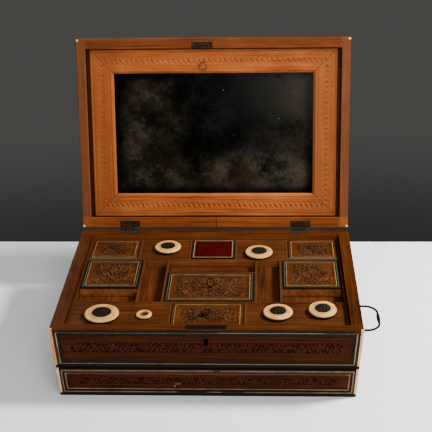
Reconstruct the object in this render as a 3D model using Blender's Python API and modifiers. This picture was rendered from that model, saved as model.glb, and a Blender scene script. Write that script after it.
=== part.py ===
"""Carved two-tier writing box with a looking glass in its lid.

Metres, +Z up. The origin is at the middle of the underside, the front faces -Y and the lid stands open.
"""
import math

import bmesh
import bpy
from mathutils import Matrix, Vector

# Case
CASE_WIDTH = 0.360             # across the rim
FOOT_WIDTH = 0.348             # across the foot, because the sides slope inwards
CASE_DEPTH = 0.254
CASE_HEIGHT = 0.091
SIDE_WALL = 0.014              # at the rim
FRONT_WALL = 0.012
BACK_WALL = 0.014
BASE_BOARD = 0.003
TIER_BOARD = 0.005             # board between the drawer and the upper tier
DRAWER_TOP = 0.0374
TIER_SETBACK = 0.002           # how far that board's edge lies behind the front
CORNER_STRIP = 0.0030          # pale strips let into the front corners
JOINT_GAP = 0.0003             # between pieces that touch
WORKING_GAP = 0.0008           # between pieces that slide or lift out
CUT_PAST = 0.0200              # how far a cut runs on past the surface that it opens

# Inlaid front of the upper tier
INLAY_DEPTH = 0.0020
STRING_WIDTH = 0.0011
STRING_INSET = 0.0062          # from the sloping corner to the pale string
STRING_TOP_MARGIN = 0.0036     # from the rim to the pale string
STRING_FOOT_MARGIN = 0.0012    # from the lower edge of the upper front to the string
MOSAIC_WIDTH = 0.0038
FRIEZE_HEIGHT = 0.0150
FRIEZE_MARGIN = 0.0085         # from the mosaic to the carving, at the ends
FRIEZE_PITCH = 0.0400
CARVE_DEPTH = 0.0009
CARVE_GRID = 0.0052            # spacing of the carving's faces
FRIEZE_ROW = 0.0034            # the same, up the friezes
FRIEZE_GROUND = 0.35           # share of the carving's depth that is cut below the board's face
KEYHOLE_TOP_WIDTH = 0.0060
KEYHOLE_FOOT_WIDTH = 0.0034
KEYHOLE_HEIGHT = 0.0105
KEYHOLE_DEPTH = 0.0080
KEYHOLE_DROP = 0.0110          # from the rim to its top
LOCK_PLATE_WIDTH = 0.0470
LOCK_PLATE_DEPTH = 0.0085
LOCK_PLATE_THICKNESS = 0.0015
LOCK_PLATE_SETBACK = 0.0018

# Drawer
DRAWER_FRONT = 0.0120
DRAWER_SIDE = 0.0060
DRAWER_FLOOR = 0.0040
DRAWER_SIDE_HEIGHT = 0.0300
DRAWER_RUNNER_WALL = 0.0140    # case side beside the drawer, at the foot
DRAWER_STRING_INSET = 0.0052
DRAWER_STRING_MARGIN = 0.0010
DRAWER_BAND = 0.0026           # dark band between the two strings
DRAWER_FRIEZE_HEIGHT = 0.0115
DRAWER_FRIEZE_PITCH = 0.0320

# Tray
TRAY_DROP = 0.0070             # tray top below the rim
TRAY_WALL = 0.0030
TRAY_FLOOR = 0.0030
PARTITION = 0.0030
LEDGE = 0.0025                 # width of the ledges that carry the lids
LID_SEAT = 0.0050              # depth of those ledges below the tray top
BACK_ROW_DEPTH = 0.0528
FRONT_ROW_DEPTH = 0.0563
CORNER_BAY_WIDTH = 0.0645      # the back corner compartments
PINCUSHION_BAY_WIDTH = 0.0570
SIDE_BAY_WIDTH = 0.0730        # the lidded compartments at the sides
TROUGH_WIDTH = 0.0280
SIDE_LID_BAY_DEPTH = 0.0725
CENTRE_LID_BAY_DEPTH = 0.0715
FRONT_LID_BAY_WIDTH = 0.0870
TROUGH_DEPTH = 0.0100
DECK_THICKNESS = 0.0035
FLOOR_THICKNESS = 0.0025       # of the shallow compartments

# Loose lids in the tray
LID_PROUD = 0.0005
LID_BORDER = 0.0070
LID_FIELD_MARGIN = 0.0045      # from the border to the carving
LID_FIELD_STEP = 0.0006        # slope from the border down to the sunk field
PULL_RING_RADIUS = 0.0049
PULL_WIRE = 0.0008
PULL_EYE_RADIUS = 0.0017
PULL_EYE_HEIGHT = 0.0022
CENTRE_PULL_PLACE = (0.0010, -0.0030)   # from the middle of its lid
CENTRE_PULL_LEAN = math.radians(68.0)   # stiff in its eye, above lying flat
FRONT_PULL_PLACE = (-0.0050, -0.0020)
FRONT_PULL_LEAN = math.radians(12.0)
FRONT_PULL_TURN = math.radians(-48.0)

# Pincushion
PIN_FRAME_WIDTH = 0.0042
PIN_FRAME_FLOOR = 0.0015
PIN_FRAME_PROUD = 0.0012
PAD_CROWN = 0.0022
PAD_GRID = 0.0070

# Turned fittings
CAP_HEIGHT = 0.0056
CAP_SPIGOT_RADIUS = 0.0095
CAP_SPIGOT_LENGTH = 0.0120
CAP_HOLE_CLEARANCE = 0.0016
ROSETTE_THICKNESS = 0.0020
ROSETTE_SUNK = 0.0012
RING_RADIUS = 0.0095
RING_HOLE_RADIUS = 0.0050
RING_HEIGHT = 0.0032
RING_PLACE = (0.246, 0.483)     # shares of its deck's length, from the middle of the box, and depth
ROSETTE_SHARE = 0.55           # of its cap's radius
CAP_FOOT_SHARE = 0.74          # of a cap's radius, where it meets the deck
TURNING_STEPS = 15
# Name, deck, place on it in shares of its length and depth, radius and tilt in degrees of the turned caps
CAPS = (
    ("back_left", ("back", -1), (0.454, 0.523), 0.0172, 0.0),
    ("back_right", ("back", 1), (0.454, 0.259), 0.0178, 0.0),
    ("front_left", ("front", -1), (0.678, 0.456), 0.0205, 0.0),
    ("front_mid", ("front", 1), (0.316, 0.542), 0.0174, 0.0),
    ("front_right", ("front", 1), (0.771, 0.629), 0.0165, 4.0),
)

# Lid and looking glass
LID_HEIGHT = 0.0340
LID_GAP = 0.0005               # between the closed lid and the rim
LID_SIDE_WALL = 0.0120
LID_FRONT_WALL = 0.0135
LID_BACK_WALL = 0.0142
LID_BOARD = 0.0060
FRAME_SUNK = 0.0028            # frame face below the lid's rim
FRAME_THICKNESS = 0.0075
FRAME_WIDTH = 0.0310
FRAME_SIDE_GAP = 0.0052
FRAME_END_GAP = 0.0012
FRAME_SEAT = 0.0120            # ledge that the frame lies on, from the lid's walls
GLASS_THICKNESS = 0.0025
GLASS_SUNK = 0.0035            # glass below the frame's face
GLASS_REBATE = 0.0040
ROPE_OFFSET = 0.0150           # middle of the carved rope, from the frame's outer edge
ROPE_WIDTH = 0.0075
ROPE_PITCH = 0.0070
ROPE_HEIGHT = 0.0009
FRAME_PULL_DROP = 0.0172       # from the frame's outer edge to the eye of its ring
FRAME_PULL_PLACE = -0.0130
MITRE_GAP = 0.0002
STRIKE_WIDTH = 0.0240
STRIKE_DEPTH = 0.0075
STRIKE_PLACE = -0.0160
STRIKE_EDGE = 0.0058
STRIKE_THICKNESS = 0.0012
STRIKE_RECESS = 0.0034         # empty end of its seat
LID_LEAN = math.radians(13.0)  # past upright, when open

# Butt hinges
HINGE_INSET = 0.0645             # from the end of the case to the middle of a hinge
HINGE_LENGTH = 0.0260
HINGE_LEAF = 0.0105
HINGE_THICKNESS = 0.0014
HINGE_BARREL = 0.0021
HINGE_KNUCKLES = 5

# Side handles
HANDLE_PLACE = -0.0205
HANDLE_RISE = 0.0430
HANDLE_SPAN = 0.0570
HANDLE_REACH = 0.0270
HANDLE_CORNER = 0.0160
HANDLE_WIRE = 0.0014
HANDLE_GRIP = 0.0023
HANDLE_GRIP_LENGTH = 0.0220
HANDLE_GRIP_STEP = 0.0040
HANDLE_BENDS = 5               # straight pieces in each rounded corner
EYE_RADIUS = 0.0040
EYE_WIDTH = 0.0050
EYE_STANDOFF = 0.0045
EYE_CLEARANCE = 0.0005
STRAP_MARGIN = 0.0060
STRAP_HEIGHT = 0.0110
STRAP_THICKNESS = 0.0015

# Places that follow from the sizes above
FRONT = -CASE_DEPTH / 2
BACK = CASE_DEPTH / 2
UPPER_FOOT = DRAWER_TOP + JOINT_GAP + TIER_BOARD
TIER_UNDERSIDE = UPPER_FOOT - TIER_BOARD
WELL_HALF = CASE_WIDTH / 2 - SIDE_WALL
WELL_FRONT = FRONT + FRONT_WALL
WELL_BACK = BACK - BACK_WALL
DRAWER_BAY_HALF = FOOT_WIDTH / 2 - DRAWER_RUNNER_WALL
TRAY_HALF = WELL_HALF - WORKING_GAP
TRAY_FRONT = WELL_FRONT + WORKING_GAP
TRAY_BACK = WELL_BACK - WORKING_GAP
TRAY_TOP = CASE_HEIGHT - TRAY_DROP
TRAY_BOTTOM = UPPER_FOOT + JOINT_GAP
TRAY_FLOOR_TOP = TRAY_BOTTOM + TRAY_FLOOR
INNER_HALF = TRAY_HALF - TRAY_WALL
ROW_FRONT = TRAY_FRONT + TRAY_WALL
FRONT_BOARD = ROW_FRONT + FRONT_ROW_DEPTH
MIDDLE_ROW = FRONT_BOARD + PARTITION
ROW_BACK = TRAY_BACK - TRAY_WALL
BACK_ROW = ROW_BACK - BACK_ROW_DEPTH
BACK_BOARD = BACK_ROW - PARTITION
DIVIDER_BACK = BACK_BOARD - SIDE_LID_BAY_DEPTH
CENTRE_LID_BACK = MIDDLE_ROW + CENTRE_LID_BAY_DEPTH
CORNER_BOARD = INNER_HALF - CORNER_BAY_WIDTH - PARTITION
PINCUSHION_BOARD = PINCUSHION_BAY_WIDTH / 2
SIDE_BOARD = INNER_HALF - SIDE_BAY_WIDTH - PARTITION
TROUGH_BOARD = SIDE_BOARD - TROUGH_WIDTH - PARTITION
FRONT_LID_BOARD = FRONT_LID_BAY_WIDTH / 2
INSERT_BASE = TRAY_FLOOR_TOP + JOINT_GAP
HINGE_PLACE = CASE_WIDTH / 2 - HINGE_INSET
HINGE_Y = BACK + HINGE_BARREL
HINGE_Z = CASE_HEIGHT + LID_GAP / 2
SIDE_SLOPE = math.atan2((CASE_WIDTH - FOOT_WIDTH) / 2, CASE_HEIGHT)
# The decks between their upright boards: x limits on the right-hand side, and y limits
DECKS = {
    "back": ((PINCUSHION_BOARD + PARTITION, CORNER_BOARD), (BACK_ROW, ROW_BACK)),
    "front": ((FRONT_LID_BOARD + PARTITION, INNER_HALF), (ROW_FRONT, FRONT_BOARD)),
}

COLOURS = {
    "case_wood": ((0.085, 0.028, 0.012), 0.45, 0.0),
    "panel_wood": ((0.105, 0.030, 0.014), 0.50, 0.0),
    "tray_wood": ((0.270, 0.115, 0.030), 0.55, 0.0),
    "carved_lid_wood": ((0.300, 0.135, 0.045), 0.60, 0.0),
    "frame_wood": ((0.470, 0.190, 0.060), 0.55, 0.0),
    "mosaic": ((0.030, 0.035, 0.025), 0.40, 0.0),
    "ivory": ((0.720, 0.560, 0.370), 0.40, 0.0),
    "dark_iron": ((0.020, 0.018, 0.016), 0.50, 0.9),
    "dark_brass": ((0.090, 0.070, 0.040), 0.45, 0.9),
    "velvet": ((0.160, 0.010, 0.012), 0.90, 0.0),
    "carved_horn": ((0.035, 0.022, 0.016), 0.50, 0.0),
    "looking_glass": ((0.030, 0.030, 0.028), 0.10, 0.9),
}


def clear_scene():
    """Remove whatever the new file holds."""
    for old in list(bpy.data.objects):
        bpy.data.objects.remove(old, do_unlink=True)


def new_collection(name):
    made = bpy.data.collections.new(name)
    bpy.context.scene.collection.children.link(made)
    return made


def make_materials():
    made = {}
    for name, (colour, roughness, metallic) in COLOURS.items():
        finish = bpy.data.materials.new(name)
        finish.use_nodes = True
        shader = finish.node_tree.nodes["Principled BSDF"]
        shader.inputs["Base Color"].default_value = (*colour, 1.0)
        shader.inputs["Roughness"].default_value = roughness
        shader.inputs["Metallic"].default_value = metallic
        made[name] = finish
    return made


def move_to(obj, collection):
    for holder in list(obj.users_collection):
        holder.objects.unlink(obj)
    collection.objects.link(obj)


def part(obj, name, finish):
    """Name an object, give it its finish and put it in the box's collection."""
    obj.name = name
    obj.data.name = name
    obj.data.materials.clear()
    obj.data.materials.append(MATERIALS[finish])
    move_to(obj, PIECES)
    return obj


def cutter(obj):
    """Make an object a guide that isn't part of the box."""
    obj.hide_render = True
    obj.display_type = "WIRE"
    move_to(obj, CUTTERS)
    return obj


def boolean(target, tool, operation):
    cutter(tool)
    tool.parent = target.parent
    step = target.modifiers.new(operation.title() + " " + tool.name, "BOOLEAN")
    step.operation = operation
    step.solver = "EXACT"
    step.object = tool
    return target


def cut(target, *tools):
    for tool in tools:
        boolean(target, tool, "DIFFERENCE")
    return target


def join(target, *tools):
    for tool in tools:
        boolean(target, tool, "UNION")
    return target


def block(name, x_range, y_range, z_range):
    """A box between three pairs of limits."""
    low = Vector((x_range[0], y_range[0], z_range[0]))
    high = Vector((x_range[1], y_range[1], z_range[1]))
    bpy.ops.mesh.primitive_cube_add(size=1.0, location=(low + high) / 2)
    obj = bpy.context.active_object
    obj.name = name
    obj.data.transform(Matrix.Diagonal((*(high - low), 1.0)))
    return obj


def side_at(z):
    """Half the case's width at a height, on the sloping sides."""
    return (FOOT_WIDTH + (CASE_WIDTH - FOOT_WIDTH) * z / CASE_HEIGHT) / 2


def sloped_block(name, inset, y_range, z_range):
    """A box whose ends follow the case's sloping sides, a given inset within them."""
    obj = block(name, (-1.0, 1.0), y_range, z_range)
    for corner in obj.data.vertices:
        height = corner.co.z + obj.location.z
        corner.co.x = math.copysign(side_at(height) - inset, corner.co.x)
    return obj


def sloped_ring(name, finish, inset, width, y_range, z_range):
    """A thin rectangular frame on the front, with sloping ends."""
    ring = part(sloped_block(name, inset, y_range, z_range), name, finish)
    hole_y = (y_range[0] - INLAY_DEPTH, y_range[1] + INLAY_DEPTH)
    hole_z = (z_range[0] + width, z_range[1] - width)
    return cut(ring, sloped_block(name + "_hole", inset + width, hole_y, hole_z))


def corner_strip(name, side, z_range, parent=None):
    """One pale strip in a front corner: the end of a sloping block."""
    low, high = z_range
    obj = block(name, (-CORNER_STRIP, 0.0), (FRONT, FRONT + CORNER_STRIP), z_range)
    for corner in obj.data.vertices:
        height = corner.co.z + obj.location.z
        outer = side_at(height)
        corner.co.x = outer if corner.co.x > 0.0 else outer - CORNER_STRIP
        corner.co.x *= side
    obj.location.x = 0.0
    if side < 0.0:
        obj.data.flip_normals()
    obj.parent = parent
    return part(obj, name, "ivory")


def corner_notches(name, z_range):
    """Cutters for the seats of the two corner strips."""
    seat = CORNER_STRIP + JOINT_GAP
    outer = sloped_block(name, -seat, (FRONT - seat, FRONT + seat), z_range)
    kept_y = (FRONT - 2 * seat, FRONT + 2 * seat)
    kept_z = (z_range[0] - CUT_PAST, z_range[1] + CUT_PAST)
    return cut(outer, sloped_block(name + "_kept", seat, kept_y, kept_z))


def turned(name, profile, closed=False, steps=TURNING_STEPS):
    """Turn a profile of (radius, height) points, given from its top middle down its outer side."""
    mesh = bpy.data.meshes.new(name)
    points = [(radius, 0.0, height) for radius, height in profile]
    edges = [(i, i + 1) for i in range(len(points) - 1)]
    if closed:
        edges.append((len(points) - 1, 0))
    mesh.from_pydata(points, edges, [])
    obj = bpy.data.objects.new(name, mesh)
    PIECES.objects.link(obj)
    screw = obj.modifiers.new("Turn", "SCREW")
    screw.axis = "Z"
    screw.steps = steps
    screw.render_steps = steps
    screw.use_merge_vertices = True
    screw.merge_threshold = 0.00005
    screw.use_smooth_shade = True
    return obj


def as_mesh(obj):
    """Replace an object by the mesh that its modifiers or curve make."""
    bpy.context.view_layer.update()
    evaluated = obj.evaluated_get(bpy.context.evaluated_depsgraph_get())
    mesh = bpy.data.meshes.new_from_object(evaluated)
    made = bpy.data.objects.new(obj.name + "_mesh", mesh)
    made.matrix_world = obj.matrix_world
    for holder in obj.users_collection:
        holder.objects.link(made)
    welded = bmesh.new()
    welded.from_mesh(mesh)
    bmesh.ops.remove_doubles(welded, verts=welded.verts, dist=0.00001)
    welded.to_mesh(mesh)
    welded.free()
    bpy.data.objects.remove(obj, do_unlink=True)
    return made


def spaced(low, high, pitch):
    """Values from low to high, evenly spaced at about a pitch."""
    count = max(1, round((high - low) / pitch))
    return [low + (high - low) * i / count for i in range(count + 1)]


def relief_plate(name, columns, rows, thickness, height_at, place=None):
    """A plate whose top is a height field over columns and rows, closed below by one flat face."""
    grid = bmesh.new()
    across = len(columns) - 1
    along = len(rows) - 1
    bmesh.ops.create_grid(grid, x_segments=across, y_segments=along, size=1.0)
    for corner in grid.verts:
        x = columns[round((corner.co.x + 1.0) / 2.0 * across)]
        y = rows[round((corner.co.y + 1.0) / 2.0 * along)]
        height = height_at(x, y)
        if place:
            x, y = place(x, y)
        corner.co = (x, y, height)
    rim = [edge for edge in grid.edges if edge.is_boundary]
    walls = bmesh.ops.extrude_edge_only(grid, edges=rim)["geom"]
    for item in walls:
        if isinstance(item, bmesh.types.BMVert):
            item.co.z = -thickness
    bmesh.ops.contextual_create(grid, geom=[edge for edge in grid.edges if edge.is_boundary])
    bmesh.ops.recalc_face_normals(grid, faces=grid.faces)
    bmesh.ops.dissolve_limit(grid, angle_limit=0.0005, verts=grid.verts, edges=grid.edges)
    mesh = bpy.data.meshes.new(name)
    grid.to_mesh(mesh)
    grid.free()
    obj = bpy.data.objects.new(name, mesh)
    PIECES.objects.link(obj)
    return obj


def foliage(x, y, half_height, pitch):
    """Running scroll carving: a waving stem with a leaf or a flower in each bend, from 0 to 1."""
    swing = 0.45 * half_height
    stem = abs(y - swing * math.sin(2 * math.pi * x / pitch))
    cover = math.exp(-(stem / (0.18 * half_height)) ** 2) * 0.6
    bend = round(x / pitch * 2 - 0.5)
    centre_x = (bend + 0.5) * pitch / 2
    centre_y = swing * (-0.6 if bend % 2 == 0 else 0.6)
    across = (x - centre_x) / (0.19 * pitch)
    up = (y - centre_y) / (0.55 * half_height)
    reach = math.hypot(across, up)
    petals = 0.75 + 0.25 * math.cos(5 * math.atan2(up, across))
    if reach < petals:
        cover = max(cover, 1.0 - 0.5 * reach)
    fade = min(1.0, max(0.0, 4.0 * (1.0 - abs(y) / half_height)))
    return cover * fade


def bouquet(x, y, half_width, half_depth):
    """Carving of a lid's field: a middle flower with leaves curling to the corners, from 0 to 1."""
    u = x / half_width
    v = y / half_depth
    if max(abs(u), abs(v)) > 0.999:
        return 0.0
    angle = math.atan2(y, x)
    radius = math.hypot(x, y) / min(half_width, half_depth)
    flower = 0.0
    if radius < 0.55:
        flower = 0.55 + 0.45 * math.cos(8 * angle) - 0.3 * radius
    curl = math.sin(3.5 * math.pi * u) * math.cos(2.5 * math.pi * v)
    leaves = max(0.0, 1.4 * abs(curl) - 0.35) if radius >= 0.5 else 0.0
    return min(1.0, max(flower, leaves))


def build_case():
    case = part(sloped_block("carcase", 0.0, (FRONT, BACK), (0.0, CASE_HEIGHT)), "carcase", "case_wood")
    above = CASE_HEIGHT + CUT_PAST
    ahead = FRONT - CUT_PAST
    well = block("well", (-WELL_HALF, WELL_HALF), (WELL_FRONT, WELL_BACK), (UPPER_FOOT, above))
    bay = block(
        "drawer_bay",
        (-DRAWER_BAY_HALF, DRAWER_BAY_HALF),
        (ahead, WELL_BACK),
        (BASE_BOARD, TIER_UNDERSIDE),
    )
    front_bay = block(
        "drawer_front_bay",
        (-CASE_WIDTH, CASE_WIDTH),
        (ahead, FRONT + DRAWER_FRONT + JOINT_GAP),
        (BASE_BOARD, TIER_UNDERSIDE),
    )
    setback = block(
        "tier_setback",
        (-CASE_WIDTH, CASE_WIDTH),
        (ahead, FRONT + TIER_SETBACK),
        (TIER_UNDERSIDE - TIER_SETBACK, UPPER_FOOT),
    )
    inlay = sloped_block(
        "inlay_seat",
        STRING_INSET - JOINT_GAP,
        (ahead, FRONT + INLAY_DEPTH + JOINT_GAP),
        (UPPER_FOOT + STRING_FOOT_MARGIN - JOINT_GAP, CASE_HEIGHT - STRING_TOP_MARGIN + JOINT_GAP),
    )
    notches = corner_notches("corner_seats", (UPPER_FOOT - JOINT_GAP, above))
    lock_seat = block(
        "lock_seat",
        (-LOCK_PLATE_WIDTH / 2 - JOINT_GAP, LOCK_PLATE_WIDTH / 2 + JOINT_GAP),
        (FRONT + LOCK_PLATE_SETBACK - JOINT_GAP, FRONT + LOCK_PLATE_SETBACK + LOCK_PLATE_DEPTH + JOINT_GAP),
        (CASE_HEIGHT - LOCK_PLATE_THICKNESS - JOINT_GAP, above),
    )
    cut(case, well, bay, front_bay, setback, inlay, notches, lock_seat, keyhole("case_keyhole"))
    leaf_seat = (CASE_HEIGHT - HINGE_THICKNESS - JOINT_GAP, above)
    for side in (-1, 1):
        cut(case, hinge_seat("case_hinge_seat", side * HINGE_PLACE, HINGE_Y, leaf_seat))
    return case


def keyhole(name):
    """Cutter for the keyhole, wide above and narrow below."""
    top = CASE_HEIGHT - KEYHOLE_DROP
    foot = top - KEYHOLE_HEIGHT
    obj = block(name, (-1.0, 1.0), (FRONT - KEYHOLE_DEPTH, FRONT + KEYHOLE_DEPTH), (foot, top))
    for corner in obj.data.vertices:
        width = KEYHOLE_TOP_WIDTH if corner.co.z > 0.0 else KEYHOLE_FOOT_WIDTH
        corner.co.x = math.copysign(width / 2, corner.co.x)
    return obj


def hinge_seat(name, centre, axis_y, z_range):
    """Cutter for a hinge leaf's seat in a rim, given the middle of the leaf and its axis."""
    half = HINGE_LENGTH / 2 + JOINT_GAP
    y_range = (axis_y - HINGE_LEAF - JOINT_GAP, axis_y + HINGE_BARREL)
    return block(name, (centre - half, centre + half), y_range, z_range)


def front_panel(name, inset, z_range, frieze_height, pitch):
    """A carved front board, standing, whose ends follow the sloping sides."""
    low, high = z_range
    middle = (low + high) / 2
    half_frieze = frieze_height / 2
    frieze_end = side_at(low) - inset - FRIEZE_MARGIN
    reach = side_at(middle)
    columns = [-reach, *spaced(-frieze_end, frieze_end, CARVE_GRID), reach]
    rows = [low - middle, *spaced(-half_frieze, half_frieze, FRIEZE_ROW), high - middle]

    def height_at(x, y):
        if abs(x) >= frieze_end or abs(y) >= half_frieze:
            return 0.0
        return CARVE_DEPTH * (foliage(x, y, half_frieze, pitch) - FRIEZE_GROUND)

    def place(x, y):
        if abs(x) == reach:
            x = math.copysign(side_at(y + middle) - inset, x)
        return x, y

    obj = part(relief_plate(name, columns, rows, INLAY_DEPTH, height_at, place), name, "panel_wood")
    obj.rotation_euler.x = math.pi / 2
    obj.location = (0.0, FRONT, middle)
    return obj


def build_upper_front():
    z_low = UPPER_FOOT + STRING_FOOT_MARGIN
    z_high = CASE_HEIGHT - STRING_TOP_MARGIN
    depth = (FRONT, FRONT + INLAY_DEPTH)
    sloped_ring("upper_front_string", "ivory", STRING_INSET, STRING_WIDTH, depth, (z_low, z_high))
    step = STRING_WIDTH + JOINT_GAP
    sloped_ring(
        "upper_front_mosaic",
        "mosaic",
        STRING_INSET + step,
        MOSAIC_WIDTH,
        depth,
        (z_low + step, z_high - step),
    )
    step += MOSAIC_WIDTH + JOINT_GAP
    panel = front_panel(
        "upper_front_panel",
        STRING_INSET + step,
        (z_low + step, z_high - step),
        FRIEZE_HEIGHT,
        FRIEZE_PITCH,
    )
    cut(panel, keyhole("panel_keyhole"))
    for side, word in ((-1, "left"), (1, "right")):
        corner_strip("upper_corner_strip_" + word, side, (UPPER_FOOT, CASE_HEIGHT))
    plate = block(
        "lock_plate",
        (-LOCK_PLATE_WIDTH / 2, LOCK_PLATE_WIDTH / 2),
        (FRONT + LOCK_PLATE_SETBACK, FRONT + LOCK_PLATE_SETBACK + LOCK_PLATE_DEPTH),
        (CASE_HEIGHT - LOCK_PLATE_THICKNESS, CASE_HEIGHT),
    )
    part(plate, "lock_plate", "dark_iron")


def build_drawer():
    low = BASE_BOARD + WORKING_GAP
    rear = WELL_BACK - WORKING_GAP
    bay_half = DRAWER_BAY_HALF - WORKING_GAP
    front_rear = FRONT + DRAWER_FRONT
    slide = bpy.data.objects.new("drawer_slide", None)
    PIECES.objects.link(slide)
    front_block = sloped_block("drawer_box", 0.0, (FRONT, front_rear), (low, DRAWER_TOP))
    drawer = part(front_block, "drawer_box", "case_wood")
    body = block(
        "drawer_body",
        (-bay_half, bay_half),
        (front_rear - DRAWER_SIDE, rear),
        (low, low + DRAWER_SIDE_HEIGHT),
    )
    hollow = block(
        "drawer_hollow",
        (DRAWER_SIDE - bay_half, bay_half - DRAWER_SIDE),
        (front_rear, rear - DRAWER_SIDE),
        (low + DRAWER_FLOOR, DRAWER_TOP + CUT_PAST),
    )
    z_low = low + DRAWER_STRING_MARGIN
    z_high = DRAWER_TOP - 2 * DRAWER_STRING_MARGIN
    inlay = sloped_block(
        "drawer_inlay_seat",
        DRAWER_STRING_INSET - JOINT_GAP,
        (FRONT - CUT_PAST, FRONT + INLAY_DEPTH + JOINT_GAP),
        (z_low - JOINT_GAP, z_high + JOINT_GAP),
    )
    notches = corner_notches("drawer_corner_seats", (BASE_BOARD, DRAWER_TOP + CORNER_STRIP))
    join(drawer, body)
    cut(drawer, hollow, inlay, notches)
    depth = (FRONT, FRONT + INLAY_DEPTH)
    pieces = [drawer]
    pieces.append(
        sloped_ring("drawer_outer_string", "ivory", DRAWER_STRING_INSET, STRING_WIDTH, depth, (z_low, z_high))
    )
    step = STRING_WIDTH + JOINT_GAP
    pieces.append(
        sloped_ring(
            "drawer_band",
            "mosaic",
            DRAWER_STRING_INSET + step,
            DRAWER_BAND,
            depth,
            (z_low + step, z_high - step),
        )
    )
    step += DRAWER_BAND + JOINT_GAP
    pieces.append(
        sloped_ring(
            "drawer_inner_string",
            "ivory",
            DRAWER_STRING_INSET + step,
            STRING_WIDTH,
            depth,
            (z_low + step, z_high - step),
        )
    )
    step += STRING_WIDTH + JOINT_GAP
    pieces.append(
        front_panel(
            "drawer_front_panel",
            DRAWER_STRING_INSET + step,
            (z_low + step, z_high - step),
            DRAWER_FRIEZE_HEIGHT,
            DRAWER_FRIEZE_PITCH,
        )
    )
    for side, word in ((-1, "left"), (1, "right")):
        pieces.append(corner_strip("drawer_corner_strip_" + word, side, (low, DRAWER_TOP)))
    for piece in pieces:
        hang(piece, slide)


def hang(piece, pivot):
    """Parent a piece and its cutters to a pivot, in place."""
    piece.parent = pivot
    for step in piece.modifiers:
        if step.type == "BOOLEAN":
            hang(step.object, pivot)


def build_tray():
    tray = block("tray", (-TRAY_HALF, TRAY_HALF), (TRAY_FRONT, TRAY_BACK), (TRAY_BOTTOM, TRAY_TOP))
    part(tray, "tray", "tray_wood")
    above = TRAY_TOP + CUT_PAST
    for name, y_range, ledge in (
        ("front_row", (ROW_FRONT, FRONT_BOARD), 0.0),
        ("middle_front", (MIDDLE_ROW, DIVIDER_BACK), 0.0),
        ("middle_back", (DIVIDER_BACK - LEDGE, BACK_BOARD), LEDGE),
        ("back_row", (BACK_ROW, ROW_BACK), LEDGE),
    ):
        reach = INNER_HALF - ledge
        cut(tray, block(name, (-reach, reach), y_range, (TRAY_FLOOR_TOP, above)))
        if ledge:
            cut(tray, block(name + "_seat", (-INNER_HALF, INNER_HALF), y_range, (TRAY_TOP - LID_SEAT, above)))
    build_decks()
    build_troughs()
    build_channel()


def partition(name, x_range, y_range, ledge_side=0, ledge_y=None):
    """An upright board on the tray floor, with a ledge on one side where a lid lies."""
    board = block(name, x_range, y_range, (INSERT_BASE, TRAY_TOP))
    if ledge_side:
        start = x_range[1] if ledge_side > 0 else x_range[0]
        reach = sorted((start - ledge_side * PARTITION / 2, start + ledge_side * LEDGE))
        span = ledge_y or y_range
        inset = (span[0] + JOINT_GAP, span[1] - JOINT_GAP)
        join(board, block(name + "_ledge", reach, inset, (INSERT_BASE + JOINT_GAP, TRAY_TOP - LID_SEAT)))
    return board


def mirrored(side, x_near, x_far):
    """An x range given for the right-hand side, put on either side."""
    return (x_near, x_far) if side > 0 else (-x_far, -x_near)


def deck_place(deck, shares):
    """Where a fitting stands on its deck."""
    row, side = deck
    (near, far), (front, back) = DECKS[row]
    return side * (near + (far - near) * shares[0]), front + (back - front) * shares[1]


def hole(name, place, radius):
    bpy.ops.mesh.primitive_cylinder_add(
        vertices=TURNING_STEPS, radius=radius, depth=4 * DECK_THICKNESS, location=(*place, TRAY_TOP)
    )
    bpy.context.active_object.name = name
    return bpy.context.active_object


def build_decks():
    """Top boards with the holes for the turned fittings, each on its upright boards."""
    deck = (TRAY_TOP - DECK_THICKNESS, TRAY_TOP - JOINT_GAP)
    hole_radius = CAP_SPIGOT_RADIUS + CAP_HOLE_CLEARANCE
    row = (BACK_ROW + JOINT_GAP, ROW_BACK - JOINT_GAP)
    front_row = (ROW_FRONT + JOINT_GAP, FRONT_BOARD - JOINT_GAP)
    overlap = PARTITION / 2
    for side, word in ((-1, "left"), (1, "right")):
        name = "deck_back_" + word
        outer = mirrored(side, CORNER_BOARD, CORNER_BOARD + PARTITION)
        board = part(partition(name, outer, row, side), name, "tray_wood")
        inner = mirrored(side, PINCUSHION_BOARD, PINCUSHION_BOARD + PARTITION)
        join(board, partition(name + "_inner", inner, row, -side))
        span = mirrored(side, PINCUSHION_BOARD + overlap, CORNER_BOARD + overlap)
        join(board, block(name + "_top", span, inset_range(row), deck))
        name = "deck_front_" + word
        inner = mirrored(side, FRONT_LID_BOARD, FRONT_LID_BOARD + PARTITION)
        front = part(partition(name, inner, front_row, -side), name, "tray_wood")
        foot_reach = INNER_HALF - JOINT_GAP
        span = mirrored(side, FRONT_LID_BOARD + overlap, foot_reach)
        join(front, block(name + "_top", span, inset_range(front_row), deck))
        foot = mirrored(side, foot_reach - PARTITION, foot_reach - JOINT_GAP)
        join(front, block(name + "_foot", foot, front_row, (INSERT_BASE, TRAY_TOP - overlap)))
        for cap, deck_name, shares, _, _ in CAPS:
            if deck_name[1] == side:
                holed = board if deck_name[0] == "back" else front
                cut(holed, hole(cap + "_hole", deck_place(deck_name, shares), hole_radius))
        if side < 0:
            cut(front, hole("ring_hole", deck_place(("front", side), RING_PLACE), RING_HOLE_RADIUS))


def inset_range(limits):
    """Limits drawn in by a joint's gap, so that joined boards share no face."""
    return (limits[0] + JOINT_GAP, limits[1] - JOINT_GAP)


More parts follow.
